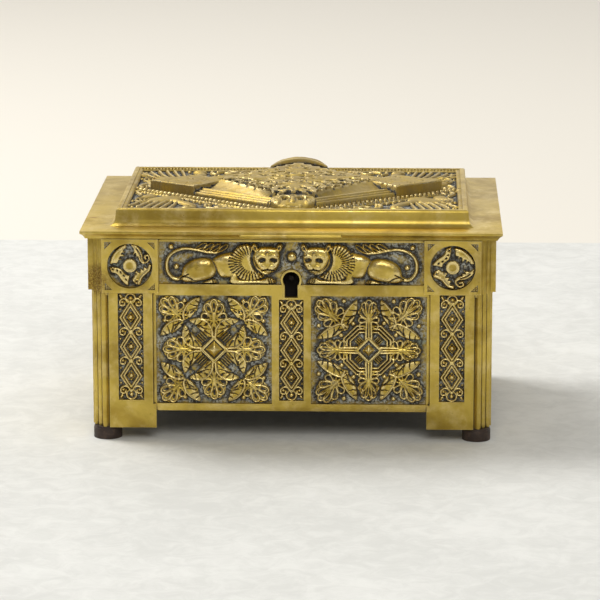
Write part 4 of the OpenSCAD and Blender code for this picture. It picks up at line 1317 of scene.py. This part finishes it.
def lid_crown(plate):
    """The raised lozenge of the lid: ridged bands, blocks, a pierced leafy top, and two lobes."""
    u, v = np.meshgrid(plate.u, plate.v)
    reach = 1 / math.hypot(1 / CROWN_U, 1 / CROWN_V)
    edge = np.clip((1 - np.abs(u) / CROWN_U - np.abs(v) / CROWN_V) * reach, 0, None)
    ridge = np.sqrt(np.clip(1 - (np.abs(np.mod(edge, 1.8) - 0.9) / 0.9) ** 2, 0, 1))
    bands = np.where(v > 0, 1.9 + 0.25 * ridge, 0.35 + 0.24 * edge + 0.9 * ridge)
    run = (np.abs(u) * CROWN_U - np.abs(v) * CROWN_V) / CROWN_SIDE
    groove = np.where((np.mod(run, 1.5) < 0.7) & (v < 0), 0.4, 1.1)
    top = np.where(edge < BANDS_IN, bands, np.where(edge < GROOVE_IN, groove, 1.4))
    fall = (np.abs(u) / LEAFY_U + np.abs(v) / LEAFY_V - 1) * 21.2
    beyond, within = np.clip(fall, 0, None), np.clip(edge - GROOVE_IN, 0, None)
    slope = 1.4 + 2.9 * (1 - beyond / np.maximum(beyond + within, 1e-3)) ** 1.5
    top = np.where((edge >= GROOVE_IN) & (fall > 0), slope, top)
    teeth = 1.5 * np.abs(np.sin((np.abs(u) / LEAFY_U - np.abs(v) / LEAFY_V) * math.pi * 4.5))
    leafy = fall < 0.6 - teeth
    plate.h = np.where(leafy, 5.1, top)
    plate.ground = 5.0
    # the leafy top
    for turn in (0, 90, 180, 270):
        size = 1.12 if turn % 180 == 0 else 0.95
        for offset in (-24, 24):
            spine = np.array([(0.5, 4.5), (2.2, 8), (2.6, 12.5), (0.6, 17)]) * size
            half_leaf(plate, turned(spine, turn + offset, offset > 0), 1 if offset > 0 else -1, 5, 4.4,
                      0.85)
        palmette(plate, turned([(0, 8.5 * size)], turn)[0], turn, 15 * size, 4.8, 5, 0.2, 0.85, 1.2)
        plate.ring(turned([(0, 6.2 * size)], turn)[0], 1.8, 1.1, 0.8)
    plate.bead((0, 0), 2.3, 1.1)
    holes = [(2.6, 2.6, 1.2), (7.6, 3.2, 1.2), (3.0, 8.2, 1.2), (12.4, 5.6, 1.5), (5.9, 12.8, 1.4),
             (8.9, 9.4, 1.4), (17.4, 3.6, 1.4), (3.6, 19.0, 1.3), (7.6, 16.4, 1.2), (17.6, 8.4, 1.2),
             (13.2, 11.4, 1.3), (22.4, 3.0, 1.2), (2.5, 24.5, 1.1)]
    for (u0, v0, size), (fu, fv) in itertools.product(holes, QUARTERS):
        jitter = DICE.normal(0, 0.5, 2)
        plate.blob((u0 * fu + jitter[0], v0 * fv + jitter[1]), (size * 1.2, size * 0.95), -2.6,
                   DICE.uniform(0, 180), over=True, power=0.3)
    for fu in (-1, 1):
        for share in np.linspace(0.08, 0.92, 7):
            for inset, size in ((2.2, 1.35), (5.6, 1.15)):
                spot = (fu * (LEAFY_U - inset) * share, -(LEAFY_V - inset * 1.3) * (1 - share))
                plate.blob(spot, (size * 1.25, size * 0.9), -2.6, DICE.uniform(0, 180), over=True,
                           power=0.3)
    tops = 4.75 + 0.3 * np.tanh((plate.h - 5.2) / 0.5) - 1.5 * np.clip((-v - 17) / 14, 0, 1)
    tops = np.where(plate.h < 4.2, np.maximum(plate.h, 2.4), tops)
    # painted shade: the piercings and low parts of the leafy top, the groove dashes, and the grooves
    # between the front bands
    plate.painted_shade = np.where(leafy, np.clip((5.0 - plate.h) / 0.9, 0, 1), 0)
    plate.h = np.where(leafy, tops, top)
    plate.painted_shade = np.where((edge > BANDS_IN) & (edge < GROOVE_IN) & (groove < 1), 0.9, plate.painted_shade)
    plate.painted_shade = np.where((edge > 0.6) & (edge < BANDS_IN) & (v < 0) & (ridge < 0.4), 0.55, plate.painted_shade)
    # blocks at the sides
    for way, level in ((-1, 3.7), (1, 4.0)):
        inner = (way * u - BLOCK_START) - np.abs(v) * (10.5 / 12.0)
        walls = np.clip(inner / 0.5, 0, 1)
        plate.h = np.where(inner > 0, plate.h * (1 - walls) + (level - 0.3 * (edge < 0.5)) * walls,
                           plate.h)
        plate.painted_shade = np.where(inner > 0, 0, plate.painted_shade)
        for _ in range(60):
            spot = (way * DICE.uniform(29, 50), DICE.uniform(-9, 9))
            if abs(spot[1]) < 0.7 * (52 - abs(spot[0])) and abs(spot[1]) < 1.1 * (abs(spot[0]) - 28):
                plate.dent(spot, (DICE.uniform(0.3, 0.7),) * 2, DICE.uniform(0.15, 0.45))
    # a small mask at the front and a lobe at the back
    start, end = plate.v[0], plate.v[-1]
    front, back = crown_lobes(u, v, start, end)
    mask = 0.9 + 2.6 * np.clip((v - start) / 9, 0, 1) ** 0.7 - 0.7 * np.clip(front, 0, 1) ** 2
    plate.h = np.where(front < 1, np.maximum(mask, 0.9), plate.h)
    plate.h = np.where((front < 1) & (v > start + 8.5), np.maximum(plate.h, np.minimum(top, 4.6)),
                       plate.h)
    arch = 1.8 + 3.7 * np.clip(1 - (u / 12.2) ** 2, 0, 1)
    behind = np.clip((v - (end - 4.2)) / 0.4, 0, 1)
    plate.h = np.where((back < 1) & (v > 0), plate.h * (1 - behind) + arch * behind, plate.h)
    before = (back < 1) & (v > end - 10) & (behind < 1)
    plate.h = np.where(before, np.minimum(plate.h, arch - 0.7), plate.h)
    # painted shadow: a line in the gap below the back lobe's rim
    plate.painted_shade = np.where((back < 1) & (np.abs(v - end + 4.8) < 0.7), 1, plate.painted_shade)
    for side in (-1, 1):
        plate.blob((2.9 * side, start + 7.2), (1.15, 1.5), -2.2, over=True, power=0.35)
        plate.stroke(arc((2.9 * side, start + 7.2), 2.0, 20, 160, 10), 0.9, 0.5, over=True)
        plate.blob((5.9 * side, start + 4.6), (1.6, 2.2), 0.5, over=True)
        plate.groove(arc((7.0 * side, start + 7.0), 2.2, 60, 300, 10), 0.5, 0.6)
    plate.stroke([(0, start + 9.5), (0, start + 4.6)], 1.6, 0.55, (0.7, 1.2), over=True)
    plate.blob((0, start + 1.9), (2.7, 0.6), -1.6, over=True, power=0.35)
    plate.stroke(arc((0, start + 7.5), 6.4, 240, 300, 12), 0.9, 0.45, over=True)


def waxed(piece, patina_and_shade, high, corner=0.0):
    """Marks a casting that has no drawn heights, evenly all over."""
    mark(piece.data, *(np.full(len(piece.data.vertices), value) for value in (patina_and_shade, high, corner)))
    return piece


def onto_outline(u, v, start, end):
    """Draws the points outside the crown in to its outline, the nearest of its lozenge and lobes."""
    lozenge = np.abs(u) / CROWN_U + np.abs(v) / CROWN_V
    front, back = crown_lobes(u, v, start, end)
    best_u, best_v = u / np.maximum(lozenge, 1e-6), v / np.maximum(lozenge, 1e-6)
    for share, y in ((front, start + FRONT_LOBE_IN), (back, end - BACK_LOBE_IN)):
        pull = np.maximum(share, 1e-6) ** (-1 / LOBE_POWER)
        to_u, to_v = u * pull, y + (v - y) * pull
        near = np.hypot(to_u - u, to_v - v) < np.hypot(best_u - u, best_v - v)
        best_u, best_v = np.where(near, to_u, best_u), np.where(near, to_v, best_v)
    beyond = (lozenge > 1) & (front > 1) & (back > 1)
    return np.where(beyond, best_u, u), np.where(beyond, best_v, v)


class CASKET_OT_lid(bpy.types.Operator):
    """Models the lid's frame and relief"""

    bl_idname = "casket.lid"
    bl_label = "Lid"

    def execute(self, context):
        waxed(cast("lid_frame", body="lid", edge=0.3 * MM), 0, 0.5)
        cell = sizes().lid_cell / MM

        plate, u, v = self.plate("lid_plate", cell, 0.35)
        lid_panel(plate)
        plate.cast(0.15, 2.2, (0.04, 1.2))
        keep = np.abs(u) / HOLE_U + np.abs(v) / HOLE_V > 1
        self.lay(relief_object("lid_panel", plate, keep, low_share=0.9), "lid_plate")

        plate, u, v = self.plate("lid_crest", cell, 0.3)
        lid_crown(plate)
        low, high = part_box("lid_crest")
        plate.cast(0.3, (high.z - low.z) / MM, (0.04, 1.0))
        ends = plate.v[0], plate.v[-1]
        front, back = crown_lobes(u, v, *ends)
        keep = np.abs(u) / CROWN_U + np.abs(v) / CROWN_V < 1 + 0.9 * cell / CROWN_REACH
        keep |= (front < 1 + LOBE_POWER * cell / 8) | (back < 1 + LOBE_POWER * cell / 9)
        crown = relief_object("lid_crown", plate, keep, lambda u, v: onto_outline(u, v, *ends),
                              low_share=0.0, back=-0.75)
        self.lay(crown, "lid_crest")
        return {"FINISHED"}

    def plate(self, node, cell, ground):
        low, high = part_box(node)
        plate = Relief((high.x - low.x) / MM, (high.y - low.y) / MM, cell, ground)
        return plate, *np.meshgrid(plate.u, plate.v)

    def lay(self, piece, node):
        """Lays a relief flat on the lid, where its node is."""
        low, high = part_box(node)
        piece.data.transform(Matrix.Translation(((low.x + high.x) / 2, (low.y + high.y) / 2, low.z)))
        dress(piece, "worn", "lid", node)


class CASKET_OT_fittings(bpy.types.Operator):
    """Finishes the hinges, lock, strike and screws"""

    bl_idname = "casket.fittings"
    bl_label = "Hinges and lock"

    def execute(self, context):
        fine = 0.08 * MM
        for side in ("left", "right"):
            cast("hinge_case_leaf_" + side, edge=fine)
            cast("hinge_lid_leaf_" + side, body="lid", edge=fine)
            cast("hinge_pin_" + side, "steel", edge=0.1 * MM)
        # the lock's inner parts are painted near-black: painted shade, as seen through the keyhole
        for node in ("lock_case", "lock_key_pin", "lock_spring"):
            cast(node, "shadow_black", edge=fine)
        cast("lock_screws", "steel", edge=fine)
        cast("lock_bolt", "steel", "lock_bolt", fine)
        for node in ("strike_plate", "strike_screws"):
            cast(node, "steel", "lid", fine)
        return {"FINISHED"}


def stuffed(node, body):
    """A velvet pad of a CAD pad's size: its block, swollen by a cloth simulation, kept in its box."""
    low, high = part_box(node)
    middle, size = (low + high) / 2, high - low
    deselect_all()
    bpy.ops.mesh.primitive_cube_add(size=1)
    pad = bpy.context.object
    pad.name = pad.data.name = node + "_pad"
    slack = Vector((1.2, 1.2, 1.4)) * MM
    pad.data.transform(Matrix.Translation(middle) @ Matrix.Diagonal((*(size - slack), 1)))
    pad.data.remesh_voxel_size = 1.4 * MM
    bpy.ops.object.voxel_remesh()
    start = read_points(pad.data)
    furthest = 1.2 * MM
    cloth = pad.modifiers.new("cloth", "CLOTH")
    cloth.settings.use_pressure = True
    cloth.settings.uniform_pressure_force = 4
    cloth.settings.effector_weights.gravity = 0
    cloth.point_cache.frame_start, cloth.point_cache.frame_end = 1, 20
    for number in range(1, 21):
        bpy.context.scene.frame_set(number)
    evaluated = pad.evaluated_get(bpy.context.evaluated_depsgraph_get())
    swollen = np.zeros(len(pad.data.vertices) * 3)
    evaluated.to_mesh().vertices.foreach_get("co", swollen)
    evaluated.to_mesh_clear()
    pad.modifiers.remove(cloth)
    bpy.context.scene.frame_set(1)
    move = swollen.reshape(-1, 3) - start
    far = np.linalg.norm(move, axis=1, keepdims=True)
    start = start + move * np.minimum(1, furthest / np.maximum(far, 1e-9))
    # a slow unevenness on the face, less at the edges
    edge = np.minimum(size.x / 2 - np.abs(start[:, 0] - middle.x),
                      size.y / 2 - np.abs(start[:, 1] - middle.y))
    wave = np.sin(start[:, 0] / (13 * MM)) * np.cos(start[:, 1] / (11 * MM) + 0.6)
    crown = np.clip(edge / (9 * MM), 0, 1)
    face = np.abs(start[:, 2] - middle.z) / size.z
    start[:, 2] = middle.z + (start[:, 2] - middle.z) * (0.72 + 0.28 * crown + 0.03 * wave * face)
    start = np.clip(start, np.array(low), np.array(high))
    write_points(pad.data, start)
    pick(pad)
    smooth = pad.modifiers.new("finer", "SUBSURF")
    smooth.levels = smooth.render_levels = 1
    bpy.ops.object.modifier_apply(modifier=smooth.name)
    bpy.ops.object.shade_smooth()
    dress(pad, "velvet", body, node)


class CASKET_OT_lining(bpy.types.Operator):
    """Models the velvet lining"""

    bl_idname = "casket.lining"
    bl_label = "Velvet lining"

    def execute(self, context):
        cast("wall_lining", "velvet", edge=0.35 * MM)
        stuffed("floor_lining", "case")
        stuffed("lid_pad", "lid")
        return {"FINISHED"}


STEPS = ("stage", "castings", "rosettes", "friezes", "interlace", "roundels", "lid", "fittings",
         "lining")


class CASKET_PT_panel(bpy.types.Panel):
    """Lists the casket's steps in the sidebar"""

    bl_label = "Brass casket"
    bl_idname = "CASKET_PT_panel"
    bl_space_type = "VIEW_3D"
    bl_region_type = "UI"
    bl_category = "Casket"

    def draw(self, context):
        for group in (context.scene.casket_sizes, context.scene.casket_colours):
            for name in group.__annotations__:
                self.layout.prop(group, name)
        for step in STEPS:
            self.layout.operator("casket." + step)


CLASSES = (CasketSizes, CasketColours, CASKET_OT_stage, CASKET_OT_rosettes, CASKET_OT_friezes,
           CASKET_OT_interlace, CASKET_OT_roundels, CASKET_OT_castings, CASKET_OT_lid,
           CASKET_OT_fittings,
           CASKET_OT_lining, CASKET_PT_panel)


def register():
    for cls in CLASSES:
        bpy.utils.register_class(cls)
    bpy.types.Scene.casket_sizes = bpy.props.PointerProperty(type=CasketSizes)
    bpy.types.Scene.casket_colours = bpy.props.PointerProperty(type=CasketColours)


def unregister():
    del bpy.types.Scene.casket_sizes
    del bpy.types.Scene.casket_colours
    for cls in reversed(CLASSES):
        bpy.utils.unregister_class(cls)


def corners(bounds):
    return [[float(value) for value in corner] for corner in bounds]


def main():
    register()
    for step in STEPS:
        getattr(bpy.ops.casket, step)()


if __name__ == "__main__":
    main()
